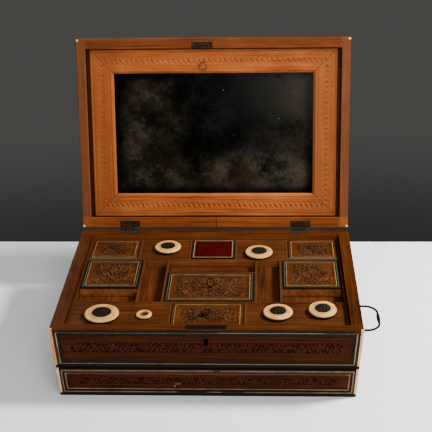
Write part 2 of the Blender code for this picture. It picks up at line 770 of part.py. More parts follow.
def build_troughs():
    """Pen troughs, each with the shallow compartment in front of its side lid."""
    row = (MIDDLE_ROW + JOINT_GAP, BACK_BOARD - JOINT_GAP)
    overlap = PARTITION / 2
    floor_top = TRAY_TOP - TROUGH_DEPTH
    floor = (floor_top - FLOOR_THICKNESS, floor_top)
    lid_bay = (DIVIDER_BACK, row[1])
    centre_bay = (row[0], CENTRE_LID_BACK)
    for side, word in ((-1, "left"), (1, "right")):
        name = "trough_" + word
        outer = mirrored(side, SIDE_BOARD, SIDE_BOARD + PARTITION)
        trough = part(partition(name, outer, row, side, lid_bay), name, "tray_wood")
        inner = mirrored(side, TROUGH_BOARD, TROUGH_BOARD + PARTITION)
        join(trough, partition(name + "_inner", inner, row, -side, centre_bay))
        between = mirrored(side, TROUGH_BOARD + overlap, SIDE_BOARD + overlap)
        join(trough, block(name + "_floor", between, inset_range(row), floor))
        reach = mirrored(side, SIDE_BOARD + overlap, INNER_HALF - JOINT_GAP)
        shallow = (row[0] + JOINT_GAP, DIVIDER_BACK - overlap)
        join(trough, block(name + "_side_floor", reach, shallow, floor))
        divider = (DIVIDER_BACK - PARTITION, DIVIDER_BACK - LEDGE + JOINT_GAP)
        height = (INSERT_BASE + JOINT_GAP, TRAY_TOP - JOINT_GAP)
        join(trough, block(name + "_divider", inset_range(reach), divider, height))


def build_channel():
    """Floor and front board of the open channel behind the centre lid."""
    reach = TROUGH_BOARD - JOINT_GAP
    floor_top = TRAY_TOP - TROUGH_DEPTH
    board_y = (CENTRE_LID_BACK, CENTRE_LID_BACK + PARTITION)
    board = block("channel_centre", (-reach, reach), board_y, (INSERT_BASE, TRAY_TOP))
    part(board, "channel_centre", "tray_wood")
    floor = block(
        "channel_floor",
        inset_range((-reach, reach)),
        (CENTRE_LID_BACK + PARTITION / 2, BACK_BOARD - JOINT_GAP),
        (floor_top - FLOOR_THICKNESS, floor_top),
    )
    return join(board, floor)


def compartment_lid(name, x_range, y_range):
    """A loose carved lid that lies on the ledges, nearly flush with the tray."""
    x_low = x_range[0] + WORKING_GAP
    x_high = x_range[1] - WORKING_GAP
    y_low = y_range[0] + WORKING_GAP
    y_high = y_range[1] - WORKING_GAP
    half_x = (x_high - x_low) / 2
    half_y = (y_high - y_low) / 2
    field_x = half_x - LID_BORDER - LID_FIELD_MARGIN
    field_y = half_y - LID_BORDER - LID_FIELD_MARGIN
    border_x = half_x - LID_BORDER
    border_y = half_y - LID_BORDER
    columns = [-half_x, -border_x, LID_FIELD_STEP - border_x, *spaced(-field_x, field_x, CARVE_GRID)]
    columns += [border_x - LID_FIELD_STEP, border_x, half_x]
    rows = [-half_y, -border_y, LID_FIELD_STEP - border_y, *spaced(-field_y, field_y, CARVE_GRID)]
    rows += [border_y - LID_FIELD_STEP, border_y, half_y]

    def height_at(x, y):
        if abs(x) >= border_x or abs(y) >= border_y:
            return 0.0
        if abs(x) >= field_x or abs(y) >= field_y:
            return -CARVE_DEPTH / 2
        return CARVE_DEPTH * (bouquet(x, y, field_x, field_y) - 0.5)

    thickness = LID_SEAT + LID_PROUD - JOINT_GAP
    obj = part(relief_plate(name, columns, rows, thickness, height_at), name, "carved_lid_wood")
    obj.location = ((x_low + x_high) / 2, (y_low + y_high) / 2, TRAY_TOP + LID_PROUD)
    return obj


def build_compartment_lids():
    side_back = (DIVIDER_BACK, BACK_BOARD)
    for side, word in ((-1, "left"), (1, "right")):
        corner = mirrored(side, CORNER_BOARD + PARTITION, INNER_HALF)
        compartment_lid("lid_back_" + word, corner, (BACK_ROW, ROW_BACK))
        beside = mirrored(side, SIDE_BOARD + PARTITION, INNER_HALF)
        compartment_lid("lid_side_" + word, beside, side_back)
    centre = (MIDDLE_ROW, CENTRE_LID_BACK)
    compartment_lid("lid_centre", (-TROUGH_BOARD, TROUGH_BOARD), centre)
    front = (-FRONT_LID_BOARD, FRONT_LID_BOARD)
    compartment_lid("lid_front", front, (ROW_FRONT, FRONT_BOARD))


def ring_pull(name, lean=0.0):
    """A wire ring and its eye, as one. The eye stands on z = 0 and the ring reaches out along +Y."""
    bpy.ops.mesh.primitive_torus_add(
        major_radius=PULL_RING_RADIUS, minor_radius=PULL_WIRE, major_segments=12, minor_segments=5
    )
    ring = part(bpy.context.active_object, name, "dark_iron")
    reach = Matrix.Translation((0.0, PULL_RING_RADIUS, 0.0))
    lift = Matrix.Translation((0.0, 0.0, PULL_EYE_HEIGHT - PULL_WIRE))
    ring.data.transform(lift @ Matrix.Rotation(lean, 4, "X") @ reach)
    bpy.ops.mesh.primitive_cylinder_add(
        vertices=8,
        radius=PULL_EYE_RADIUS,
        depth=PULL_EYE_HEIGHT - JOINT_GAP,
        location=(0.0, 0.0, (PULL_EYE_HEIGHT + JOINT_GAP) / 2),
    )
    eye = bpy.context.active_object
    eye.name = name + "_eye"
    return join(ring, eye)


def build_lid_pulls():
    """The ring pulls on the centre and front lids."""
    centre_y = (MIDDLE_ROW + CENTRE_LID_BACK) / 2
    front_y = (ROW_FRONT + FRONT_BOARD) / 2
    for name, place, middle_y, lean, turn in (
        ("centre", CENTRE_PULL_PLACE, centre_y, CENTRE_PULL_LEAN, 0.0),
        ("front", FRONT_PULL_PLACE, front_y, FRONT_PULL_LEAN, FRONT_PULL_TURN),
    ):
        pivot = bpy.data.objects.new("pull_place_" + name, None)
        PIECES.objects.link(pivot)
        face = TRAY_TOP + LID_PROUD + CARVE_DEPTH / 2
        pivot.location = (place[0], middle_y + place[1], face)
        pivot.rotation_euler.z = turn
        hang(ring_pull("pull_" + name, lean), pivot)


def build_pincushion():
    x_half = PINCUSHION_BOARD - WORKING_GAP
    y_range = (BACK_ROW + WORKING_GAP, ROW_BACK - WORKING_GAP)
    seat_top = TRAY_TOP - LID_SEAT + JOINT_GAP
    frame = part(
        block("pincushion_frame", (-x_half, x_half), y_range, (seat_top, TRAY_TOP + PIN_FRAME_PROUD)),
        "pincushion_frame",
        "tray_wood",
    )
    inner_x = x_half - PIN_FRAME_WIDTH
    inner_y = (y_range[0] + PIN_FRAME_WIDTH, y_range[1] - PIN_FRAME_WIDTH)
    pad_base = seat_top + PIN_FRAME_FLOOR
    cut(frame, block("pad_seat", (-inner_x, inner_x), inner_y, (pad_base, TRAY_TOP + CUT_PAST)))
    half_x = inner_x - JOINT_GAP
    half_y = (inner_y[1] - inner_y[0]) / 2 - JOINT_GAP
    thickness = TRAY_TOP - pad_base - JOINT_GAP

    def height_at(x, y):
        fall = (1.0 - (x / half_x) ** 4) * (1.0 - (y / half_y) ** 4)
        return PAD_CROWN * fall

    columns = spaced(-half_x, half_x, PAD_GRID)
    rows = spaced(-half_y, half_y, PAD_GRID)
    pad = relief_plate("pincushion_velvet", columns, rows, thickness, height_at)
    part(pad, "pincushion_velvet", "velvet")
    pad.location = (0.0, (inner_y[0] + inner_y[1]) / 2, TRAY_TOP)


def cap_profile(radius):
    """Profile of a turned cap: a sunk seat for its rosette, a beaded rim, and a spigot below."""
    rosette = radius * ROSETTE_SHARE + JOINT_GAP
    top = CAP_HEIGHT
    return [
        (0.0, top - ROSETTE_SUNK),
        (rosette, top - ROSETTE_SUNK),
        (rosette + JOINT_GAP, top),
        (0.82 * radius, 0.86 * top),
        (0.97 * radius, 0.62 * top),
        (radius, 0.40 * top),
        (CAP_FOOT_SHARE * radius, JOINT_GAP),
        (CAP_SPIGOT_RADIUS, JOINT_GAP),
        (CAP_SPIGOT_RADIUS, -CAP_SPIGOT_LENGTH),
        (0.0, -CAP_SPIGOT_LENGTH),
    ]


def rosette_profile(radius):
    return [
        (0.0, ROSETTE_THICKNESS),
        (0.60 * radius, 0.88 * ROSETTE_THICKNESS),
        (radius, 0.50 * ROSETTE_THICKNESS),
        (radius, JOINT_GAP),
        (0.0, JOINT_GAP),
    ]


def build_fittings():
    for name, deck, shares, radius, tilt in CAPS:
        place = deck_place(deck, shares)
        lift = math.sin(math.radians(tilt)) * radius * CAP_FOOT_SHARE
        cap = part(turned("cap_" + name, cap_profile(radius)), "cap_" + name, "ivory")
        cap.location = (*place, TRAY_TOP + lift)
        cap.rotation_euler.x = math.radians(tilt)
        rosette_radius = radius * ROSETTE_SHARE
        rosette = turned("rosette_" + name, rosette_profile(rosette_radius))
        part(rosette, "rosette_" + name, "carved_horn")
        rosette.parent = cap
        rosette.location.z = CAP_HEIGHT - ROSETTE_SUNK
    ring_profile = [
        (RING_HOLE_RADIUS, 0.75 * RING_HEIGHT),
        (0.5 * (RING_HOLE_RADIUS + RING_RADIUS), RING_HEIGHT),
        (RING_RADIUS, 0.55 * RING_HEIGHT),
        (0.97 * RING_RADIUS, JOINT_GAP),
        (RING_HOLE_RADIUS, JOINT_GAP),
    ]
    ring = part(turned("thimble_ring", ring_profile, closed=True), "thimble_ring", "ivory")
    ring.location = (*deck_place(("front", -1), RING_PLACE), TRAY_TOP)


def hinge_leaf(name, z_face, upward, first):
    """A leaf about the hinge's axis at the origin: a plate with every other knuckle, from the first given."""
    thickness = HINGE_THICKNESS if upward else -HINGE_THICKNESS
    z_range = sorted((z_face, z_face + thickness))
    half = HINGE_LENGTH / 2
    plate = block(name, (-half, half), (-HINGE_LEAF, -HINGE_BARREL - JOINT_GAP), z_range)
    leaf = part(plate, name, "dark_brass")
    pitch = HINGE_LENGTH / HINGE_KNUCKLES
    half_knuckle = (pitch - JOINT_GAP) / 2
    for index in range(first, HINGE_KNUCKLES, 2):
        centre = (index + 0.5) * pitch - half
        bpy.ops.mesh.primitive_cylinder_add(
            vertices=8,
            radius=HINGE_BARREL,
            depth=2 * half_knuckle,
            location=(centre, 0.0, 0.0),
            rotation=(0.0, math.pi / 2, 0.0),
        )
        knuckle = bpy.context.active_object
        knuckle.name = name + "_knuckle_" + str(index)
        neck = block(
            name + "_neck_" + str(index),
            (centre - half_knuckle, centre + half_knuckle),
            (-HINGE_BARREL - 2 * JOINT_GAP, -HINGE_BARREL / 2),
            z_range,
        )
        join(leaf, neck, knuckle)
    return leaf


def build_case_hinges():
    for side, word in ((-1, "left"), (1, "right")):
        leaf = hinge_leaf("hinge_case_" + word, CASE_HEIGHT - HINGE_Z, False, 0)
        pivot = bpy.data.objects.new("hinge_seat_" + word, None)
        PIECES.objects.link(pivot)
        pivot.location = (side * HINGE_PLACE, HINGE_Y, HINGE_Z)
        hang(leaf, pivot)


def frame_member(name, length, turn, centre):
    """A mitred member of the looking-glass frame: face up, outer edge at +Y, rope carving along it."""
    rope_low = -ROPE_OFFSET - ROPE_WIDTH / 2
    rope_high = -ROPE_OFFSET + ROPE_WIDTH / 2
    half = length / 2
    twists = round(length / ROPE_PITCH)
    step = length / twists
    columns = [-half]
    for index in range(twists):
        columns += [-half + (index + 0.5) * step, -half + (index + 1) * step]
    rows = [-FRAME_WIDTH, rope_low, -ROPE_OFFSET, rope_high, 0.0]

    def height_at(x, y):
        if abs(y + ROPE_OFFSET) > ROPE_WIDTH / 4:
            return 0.0
        crest = (x + half) / step % 1.0
        return ROPE_HEIGHT if 0.25 < crest < 0.75 else -ROPE_HEIGHT / 2

    def mitre(x, y):
        return x * (half + y) / half, y

    obj = part(relief_plate(name, columns, rows, FRAME_THICKNESS, height_at, mitre), name, "frame_wood")
    obj.location = centre
    obj.rotation_euler = (math.pi, 0.0, turn)
    return obj


def build_lid():
    """The lid, modelled closed about its hinge axis and then swung open with its pivot."""
    pivot = bpy.data.objects.new("lid_pivot", None)
    PIECES.objects.link(pivot)
    rim = LID_GAP / 2
    near = -HINGE_BARREL
    far = near - CASE_DEPTH
    half = CASE_WIDTH / 2
    top = rim + LID_HEIGHT
    face = rim + FRAME_SUNK
    seat = face + FRAME_THICKNESS + JOINT_GAP
    shell = part(block("lid_shell", (-half, half), (far, near), (rim, top)), "lid_shell", "case_wood")
    inner_half = half - LID_SIDE_WALL
    inner_y = (far + LID_FRONT_WALL, near - LID_BACK_WALL)
    below = rim - CUT_PAST
    recess = block("lid_recess", (-inner_half, inner_half), inner_y, (below, seat))
    cavity = block(
        "lid_cavity",
        (FRAME_SEAT - inner_half, inner_half - FRAME_SEAT),
        (inner_y[0] + FRAME_SEAT, inner_y[1] - FRAME_SEAT),
        (below, top - LID_BOARD),
    )
    strike_y = (far + STRIKE_EDGE, far + STRIKE_EDGE + STRIKE_DEPTH)
    strike_x = (STRIKE_PLACE - STRIKE_WIDTH / 2, STRIKE_PLACE + STRIKE_WIDTH / 2)
    strike_seat = block(
        "strike_seat",
        (strike_x[0] - JOINT_GAP, strike_x[1] + STRIKE_RECESS),
        (strike_y[0] - JOINT_GAP, strike_y[1] + JOINT_GAP),
        (below, rim + STRIKE_THICKNESS + JOINT_GAP),
    )
    cut(shell, recess, cavity, strike_seat)
    leaf_seat = (below, rim + HINGE_THICKNESS + JOINT_GAP)
    for side, word in ((-1, "left"), (1, "right")):
        cut(shell, hinge_seat("lid_hinge_seat_" + word, side * HINGE_PLACE, 0.0, leaf_seat))
        leaf = hinge_leaf("hinge_lid_" + word, rim, True, 1)
        leaf_pivot = bpy.data.objects.new("lid_leaf_" + word, None)
        PIECES.objects.link(leaf_pivot)
        leaf_pivot.location.x = side * HINGE_PLACE
        leaf_pivot.parent = pivot
        hang(leaf, leaf_pivot)
    pieces = [shell]
    strike = block("strike_plate", strike_x, strike_y, (rim, rim + STRIKE_THICKNESS))
    pieces.append(part(strike, "strike_plate", "dark_brass"))
    frame_half = inner_half - FRAME_SIDE_GAP
    frame_y = (inner_y[0] + FRAME_END_GAP, inner_y[1] - FRAME_END_GAP)
    length = frame_y[1] - frame_y[0]
    middle = (frame_y[0] + frame_y[1]) / 2
    for name, span, turn, centre in (
        ("frame_top", 2 * frame_half, 0.0, (0.0, frame_y[0], face)),
        ("frame_bottom", 2 * frame_half, math.pi, (0.0, frame_y[1], face)),
        ("frame_left", length, -math.pi / 2, (-frame_half, middle, face)),
        ("frame_right", length, math.pi / 2, (frame_half, middle, face)),
    ):
        member = frame_member(name, span - 2 * MITRE_GAP, turn, centre)
        cut(member, glass_rebate(name + "_rebate", frame_half, frame_y, face))
        pieces.append(member)
    glass_margin = FRAME_WIDTH - GLASS_REBATE + JOINT_GAP
    glass_x = frame_half - glass_margin
    glass_y = (frame_y[0] + glass_margin, frame_y[1] - glass_margin)
    glass_face = face + GLASS_SUNK
    glass = block("mirror_glass", (-glass_x, glass_x), glass_y, (glass_face, glass_face + GLASS_THICKNESS))
    pieces.append(part(glass, "mirror_glass", "looking_glass"))
    pull_place = bpy.data.objects.new("frame_pull_place", None)
    PIECES.objects.link(pull_place)
    pull_place.location = (FRAME_PULL_PLACE, frame_y[0] + FRAME_PULL_DROP, face - ROPE_HEIGHT)
    pull_place.rotation_euler.y = math.pi
    pull_place.parent = pivot
    hang(ring_pull("frame_pull"), pull_place)
    for piece in pieces:
        hang(piece, pivot)
    pivot.location = (0.0, HINGE_Y, HINGE_Z)
    pivot.rotation_euler.x = -(math.pi / 2 + LID_LEAN)


def glass_rebate(name, frame_half, frame_y, face):
    """Cutter for the rebate behind the frame, where the glass lies."""
    half = frame_half - FRAME_WIDTH + GLASS_REBATE
    y_range = (frame_y[0] + FRAME_WIDTH - GLASS_REBATE, frame_y[1] - FRAME_WIDTH + GLASS_REBATE)
    z_low = face + GLASS_SUNK - JOINT_GAP
    return block(name, (-half, half), y_range, (z_low, z_low + 2 * FRAME_THICKNESS))


def bail_route():
    """Route of a bail about its axis, along Y, reaching out along +X: (across, along, swelling) points."""
    end = HANDLE_SPAN / 2
    shoulder = HANDLE_REACH - HANDLE_CORNER
    half_route = [
        (0.0, EYE_WIDTH - end, 0.0),
        (0.0, HANDLE_WIRE - end, 0.0),
        (HANDLE_WIRE, -end, 0.0),
        (shoulder, -end, 0.0),
    ]
    for index in range(1, HANDLE_BENDS + 1):
        angle = math.pi / 2 * index / HANDLE_BENDS
        along = HANDLE_CORNER * (1.0 - math.cos(angle)) - end
        half_route.append((shoulder + HANDLE_CORNER * math.sin(angle), along, 0.0))
    grip = []
    for along in spaced(-HANDLE_GRIP_LENGTH / 2, HANDLE_GRIP_LENGTH / 2, HANDLE_GRIP_STEP):
        grip.append((HANDLE_REACH, along, math.cos(math.pi * along / HANDLE_GRIP_LENGTH)))
    return half_route + grip + [(across, -along, 0.0) for across, along, _ in reversed(half_route)]


def build_bail(name):
    """The wire handle, swelling at its grip."""
    curve = bpy.data.curves.new(name, "CURVE")
    curve.dimensions = "3D"
    curve.bevel_depth = HANDLE_WIRE
    curve.bevel_resolution = 1
    curve.use_fill_caps = True
    route = bail_route()
    spline = curve.splines.new("POLY")
    spline.points.add(len(route) - 1)
    for point, (across, along, swelling) in zip(spline.points, route):
        point.co = (across, along, 0.0, 1.0)
        point.radius = 1.0 + (HANDLE_GRIP / HANDLE_WIRE - 1.0) * swelling
    bail = bpy.data.objects.new(name, curve)
    PIECES.objects.link(bail)
    return part(as_mesh(bail), name, "dark_iron")


def build_handle(side, word, swung):
    """A side handle: an iron strap with two eyes on the sloping side, and the bail in them."""
    wall = side_at(HANDLE_RISE)
    about = 0.0 if side > 0 else math.pi
    mount = bpy.data.objects.new("handle_place_" + word, None)
    PIECES.objects.link(mount)
    mount.location = (side * wall, HANDLE_PLACE, HANDLE_RISE)
    mount.rotation_euler = (0.0, SIDE_SLOPE, about)
    half_strap = HANDLE_SPAN / 2 + STRAP_MARGIN
    strap = block(
        "strap_" + word,
        (JOINT_GAP, JOINT_GAP + STRAP_THICKNESS),
        (-half_strap, half_strap),
        (-STRAP_HEIGHT / 2, STRAP_HEIGHT / 2),
    )
    part(strap, "handle_mount_" + word, "dark_iron")
    eye_place = HANDLE_SPAN / 2 - HANDLE_WIRE - WORKING_GAP - EYE_WIDTH / 2
    for end in (-1, 1):
        place = (EYE_STANDOFF, end * eye_place, 0.0)
        join(strap, rod("eye_" + word, EYE_RADIUS, EYE_WIDTH, place))
        cut(strap, rod("eye_bore_" + word, HANDLE_WIRE + EYE_CLEARANCE, 2 * EYE_WIDTH, place))
    hang(strap, mount)
    bail = build_bail("handle_bail_" + word)
    axis_x = wall + EYE_STANDOFF * math.cos(SIDE_SLOPE)
    axis_z = HANDLE_RISE - EYE_STANDOFF * math.sin(SIDE_SLOPE)
    bail.location = (side * axis_x, HANDLE_PLACE, axis_z)
    bail.rotation_euler = (0.0, swung, about)


def rod(name, radius, length, place):
    """A cylinder along Y."""
    bpy.ops.mesh.primitive_cylinder_add(
        vertices=10, radius=radius, depth=length, location=place, rotation=(math.pi / 2, 0.0, 0.0)
    )
    bpy.context.active_object.name = name
    return bpy.context.active_object


clear_scene()
MATERIALS = make_materials()
PIECES = new_collection("writing_box")
CUTTERS = new_collection("cutters")
build_case()
build_upper_front()
build_drawer()
build_tray()
build_compartment_lids()
build_lid_pulls()
build_pincushion()
build_fittings()
build_case_hinges()
build_lid()
build_handle(1, "right", 0.0)
build_handle(-1, "left", math.pi / 2 + min(0.0, SIDE_SLOPE))     # hangs plumb, or along a side that leans out
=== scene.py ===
import math

import bmesh
import bpy
import numpy as np
from mathutils import Matrix, Vector


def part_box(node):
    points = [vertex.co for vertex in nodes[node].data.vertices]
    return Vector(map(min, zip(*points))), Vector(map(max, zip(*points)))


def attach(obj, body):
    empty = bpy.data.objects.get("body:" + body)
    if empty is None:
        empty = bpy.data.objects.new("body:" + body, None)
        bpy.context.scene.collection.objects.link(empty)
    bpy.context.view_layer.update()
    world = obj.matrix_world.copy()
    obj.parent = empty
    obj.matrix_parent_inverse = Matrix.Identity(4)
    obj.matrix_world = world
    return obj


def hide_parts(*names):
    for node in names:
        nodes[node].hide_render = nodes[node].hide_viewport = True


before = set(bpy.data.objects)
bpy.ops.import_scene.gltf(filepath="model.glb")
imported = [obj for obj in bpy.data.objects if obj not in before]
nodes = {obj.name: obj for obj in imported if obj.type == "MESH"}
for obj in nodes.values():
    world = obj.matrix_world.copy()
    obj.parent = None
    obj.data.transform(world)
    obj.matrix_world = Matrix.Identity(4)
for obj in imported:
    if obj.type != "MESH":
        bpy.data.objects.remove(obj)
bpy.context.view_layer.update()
print("box loaded:", len(nodes), "pieces")

mm = 0.001
frontY = -0.127         # the front face
trayTop = 84.0 * mm     # height of the tray's top above the table
scene = bpy.context.scene


def put(tree, value, socket):
    if isinstance(value, bpy.types.NodeSocket):
        tree.links.new(value, socket)
    elif isinstance(value, (tuple, list)) and len(value) == 3 and socket.type == "RGBA":
        socket.default_value = (*value, 1.0)
    else:
        socket.default_value = value


def calc(tree, operation, first, second=0.0, third=0.0, clamp=False):
    node = tree.nodes.new("ShaderNodeMath")
    node.operation = operation
    node.use_clamp = clamp
    for value, socket in zip((first, second, third), node.inputs):
        put(tree, value, socket)
    return node.outputs[0]


def times(tree, first, second, clamp=False):
    return calc(tree, "MULTIPLY", first, second, clamp=clamp)


# a value times a factor, plus more
def scaled(tree, value, factor, more):
    return calc(tree, "MULTIPLY_ADD", value, factor, more)


def move(tree, operation, first, second=(0.0, 0.0, 0.0)):
    node = tree.nodes.new("ShaderNodeVectorMath")
    node.operation = operation
    put(tree, first, node.inputs[0])
    if operation == "SCALE":
        put(tree, second, node.inputs["Scale"])
        return node.outputs[0]
    put(tree, second, node.inputs[1])
    return node.outputs["Value"] if operation in ("LENGTH", "DOT_PRODUCT", "DISTANCE") else node.outputs[0]


def mix(tree, factor, first, second, mode="MIX"):
    node = tree.nodes.new("ShaderNodeMix")
    node.data_type = "RGBA"
    node.blend_type = mode
    put(tree, factor, node.inputs[0])
    put(tree, first, node.inputs[6])
    put(tree, second, node.inputs[7])
    return node.outputs[2]


# a smooth step of a value
def ramp(tree, value, low, high, start=0.0, end=1.0):
    node = tree.nodes.new("ShaderNodeMapRange")
    node.interpolation_type = "SMOOTHSTEP"
    for item, socket in zip((value, low, high, start, end), node.inputs):
        put(tree, item, socket)
    return node.outputs[0]


def noise(tree, place, scale, detail=2.0, roughness=0.5):
    node = tree.nodes.new("ShaderNodeTexNoise")
    put(tree, place, node.inputs["Vector"])
    put(tree, scale, node.inputs["Scale"])
    put(tree, detail, node.inputs["Detail"])
    put(tree, roughness, node.inputs["Roughness"])
    return node.outputs[0]


# noise drawn out by its own scale along each axis
def stretched(tree, place, scales, detail=2.0, roughness=0.5):
    return noise(tree, move(tree, "MULTIPLY", place, scales), 1.0, detail, roughness)


def spots(tree, place, scale):
    node = tree.nodes.new("ShaderNodeTexVoronoi")
    put(tree, place, node.inputs["Vector"])
    put(tree, scale, node.inputs["Scale"])
    return node.outputs["Distance"], node.outputs["Color"]


def split(tree, vector):
    node = tree.nodes.new("ShaderNodeSeparateXYZ")
    put(tree, vector, node.inputs[0])
    return node.outputs


def combine(tree, x, y, z):
    node = tree.nodes.new("ShaderNodeCombineXYZ")
    for value, socket in zip((x, y, z), node.inputs):
        put(tree, value, socket)
    return node.outputs[0]


def newGroup(name, inputs, outputs):
    tree = bpy.data.node_groups.new(name, "ShaderNodeTree")
    for label, kind, value in inputs:
        socket = tree.interface.new_socket(label, in_out="INPUT", socket_type="NodeSocket" + kind)
        socket.default_value = (*value, 1.0) if kind == "Color" else value
    for label, kind in outputs:
        tree.interface.new_socket(label, in_out="OUTPUT", socket_type="NodeSocket" + kind)
    return tree, tree.nodes.new("NodeGroupInput").outputs, tree.nodes.new("NodeGroupOutput").inputs


def use(tree, group, values):
    node = tree.nodes.new("ShaderNodeGroup")
    node.node_tree = group
    for label, value in values.items():
        put(tree, value, node.inputs[label])
    return node.outputs


def newMaterial(name):
    made = bpy.data.materials.new(name)
    made.use_nodes = True
    return made, made.node_tree, made.node_tree.nodes["Principled BSDF"].inputs


def bump(tree, height, distance, strength=1.0):
    node = tree.nodes.new("ShaderNodeBump")
    node.inputs["Distance"].default_value = distance
    node.inputs["Strength"].default_value = strength
    put(tree, height, node.inputs["Height"])
    return node.outputs[0]


# place on the piece at rest, in metres
def place(tree):
    return tree.nodes.new("ShaderNodeTexCoord").outputs["Object"]


def stored(tree, name, kind="Fac"):
    node = tree.nodes.new("ShaderNodeAttribute")
    node.attribute_name = name
    return node.outputs[kind]


# how closed in a place is, or how exposed when it is measured from inside the piece
def closeness(tree, reach, inside=False):
    corner = tree.nodes.new("ShaderNodeAmbientOcclusion")
    corner.samples = 6
    corner.inside = inside
    put(tree, reach, corner.inputs["Distance"])
    return calc(tree, "SUBTRACT", 1.0, corner.outputs["AO"])


placeInput = ("Place", "Vector", (0.0, 0.0, 0.0))


# streaked wood with fine fibres, pores and blotches; the grain runs along X
def makeWoodGrain():
    inputs = (
        placeInput,
        ("Pale", "Color", (0.4, 0.2, 0.08)),
        ("Middle", "Color", (0.3, 0.1, 0.03)),
        ("Dark", "Color", (0.1, 0.03, 0.01)),
        ("Streak Width", "Float", 0.002),
        ("Seed", "Float", 0.0),
    )
    outputs = (("Color", "Color"), ("Tone", "Float"), ("Height", "Float"))
    tree, given, made = newGroup("woodGrain", inputs, outputs)
    seed = combine(tree, given["Seed"], times(tree, given["Seed"], 1.7), given["Seed"])
    spot = move(tree, "ADD", given["Place"], seed)
    across = calc(tree, "DIVIDE", 1.0, given["Streak Width"])
    slow = times(tree, across, 0.018)
    streaks = stretched(tree, spot, combine(tree, slow, across, across), 3.0, 0.6)
    fibres = stretched(tree, spot, (70.0, 2600.0, 2600.0), 2.0, 0.6)
    blotches = stretched(tree, spot, (16.0, 42.0, 42.0), 3.0, 0.55)
    wander = stretched(tree, spot, (5.0, 30.0, 30.0), 1.0)
    parts = split(tree, spot)
    figure = scaled(tree, parts[1], 700.0, times(tree, wander, 26.0))
    figure = calc(tree, "SINE", scaled(tree, parts[2], 420.0, figure))
    tone = scaled(tree, streaks, 0.55, times(tree, blotches, 0.35))
    tone = scaled(tree, fibres, 0.16, tone)
    tone = scaled(tree, figure, 0.030, tone)
    colour = mix(tree, ramp(tree, tone, 0.36, 0.54), given["Dark"], given["Middle"])
    colour = mix(tree, ramp(tree, tone, 0.52, 0.68), colour, given["Pale"])
    pores = stretched(tree, spot, (190.0, 3100.0, 3100.0), 1.0)
    pores = ramp(tree, pores, 0.62, 0.72)
    colour = mix(tree, times(tree, pores, 0.55), colour, given["Dark"])
    put(tree, colour, made["Color"])
    put(tree, tone, made["Tone"])
    put(tree, calc(tree, "SUBTRACT", times(tree, fibres, 0.6), pores), made["Height"])
    return tree


# dirt and painted shade in corners and recesses, from ambient occlusion, broken up by noise
def makeDirtAndCornerShade():
    inputs = (placeInput, ("Reach", "Float", 0.006), ("Amount", "Float", 0.8))
    tree, given, made = newGroup("dirtAndCornerShade", inputs, (("Mask", "Float"),))
    uneven = noise(tree, given["Place"], 260.0, 3.0, 0.6)
    closed = times(tree, closeness(tree, given["Reach"]), scaled(tree, uneven, 1.4, 0.5))
    mask = times(tree, ramp(tree, closed, 0.12, 0.85), given["Amount"], clamp=True)
    put(tree, mask, made["Mask"])
    return tree


# rubbed corners and edges, found from inside the piece
def makeEdgeWear():
    inputs = (placeInput, ("Reach", "Float", 0.0012), ("Amount", "Float", 0.6))
    tree, given, made = newGroup("edgeWear", inputs, (("Mask", "Float"),))
    exposed = closeness(tree, given["Reach"], True)
    uneven = times(tree, noise(tree, given["Place"], 120.0, 4.0, 0.65), 1.8)
    mask = ramp(tree, times(tree, exposed, uneven), 0.42, 0.75)
    put(tree, times(tree, mask, given["Amount"], clamp=True), made["Mask"])
    return tree


# fine scratches, small dents and smudges from use
def makeMarks():
    inputs = (placeInput, ("Density", "Float", 0.5))
    tree, given, made = newGroup("handlingMarks", inputs, (("Scratches", "Float"), ("Smudges", "Float")))
    fine = stretched(tree, given["Place"], (60.0, 900.0, 900.0), 2.0)
    cross = stretched(tree, given["Place"], (1100.0, 80.0, 500.0), 2.0)
    where = noise(tree, given["Place"], 55.0, 2.0)
    lines = calc(tree, "MAXIMUM", ramp(tree, fine, 0.66, 0.74), ramp(tree, cross, 0.68, 0.76))
    lines = times(tree, lines, ramp(tree, where, 0.45, 0.70))
    put(tree, times(tree, lines, given["Density"], clamp=True), made["Scratches"])
    put(tree, ramp(tree, noise(tree, given["Place"], 34.0, 4.0, 0.6), 0.35, 0.70), made["Smudges"])
    return tree


# one inside a box given by its middle and half size, with a ragged edge
def makeBoxMask():
    inputs = (
        placeInput,
        ("Middle", "Vector", (0.0, 0.0, 0.0)),
        ("Half Size", "Vector", (0.01, 0.01, 0.01)),
        ("Ragged", "Float", 0.001),
    )
    tree, given, made = newGroup("boxMask", inputs, (("Mask", "Float"),))
    away = move(tree, "ABSOLUTE", move(tree, "SUBTRACT", given["Place"], given["Middle"]))
    past = split(tree, move(tree, "SUBTRACT", away, given["Half Size"]))
    most = calc(tree, "MAXIMUM", calc(tree, "MAXIMUM", past[0], past[1]), past[2])
    uneven = calc(tree, "SUBTRACT", noise(tree, given["Place"], 420.0, 3.0, 0.6), 0.5)
    most = scaled(tree, uneven, times(tree, given["Ragged"], 4.0), most)
    put(tree, ramp(tree, most, 0.0002, -0.0002), made["Mask"])
    return tree


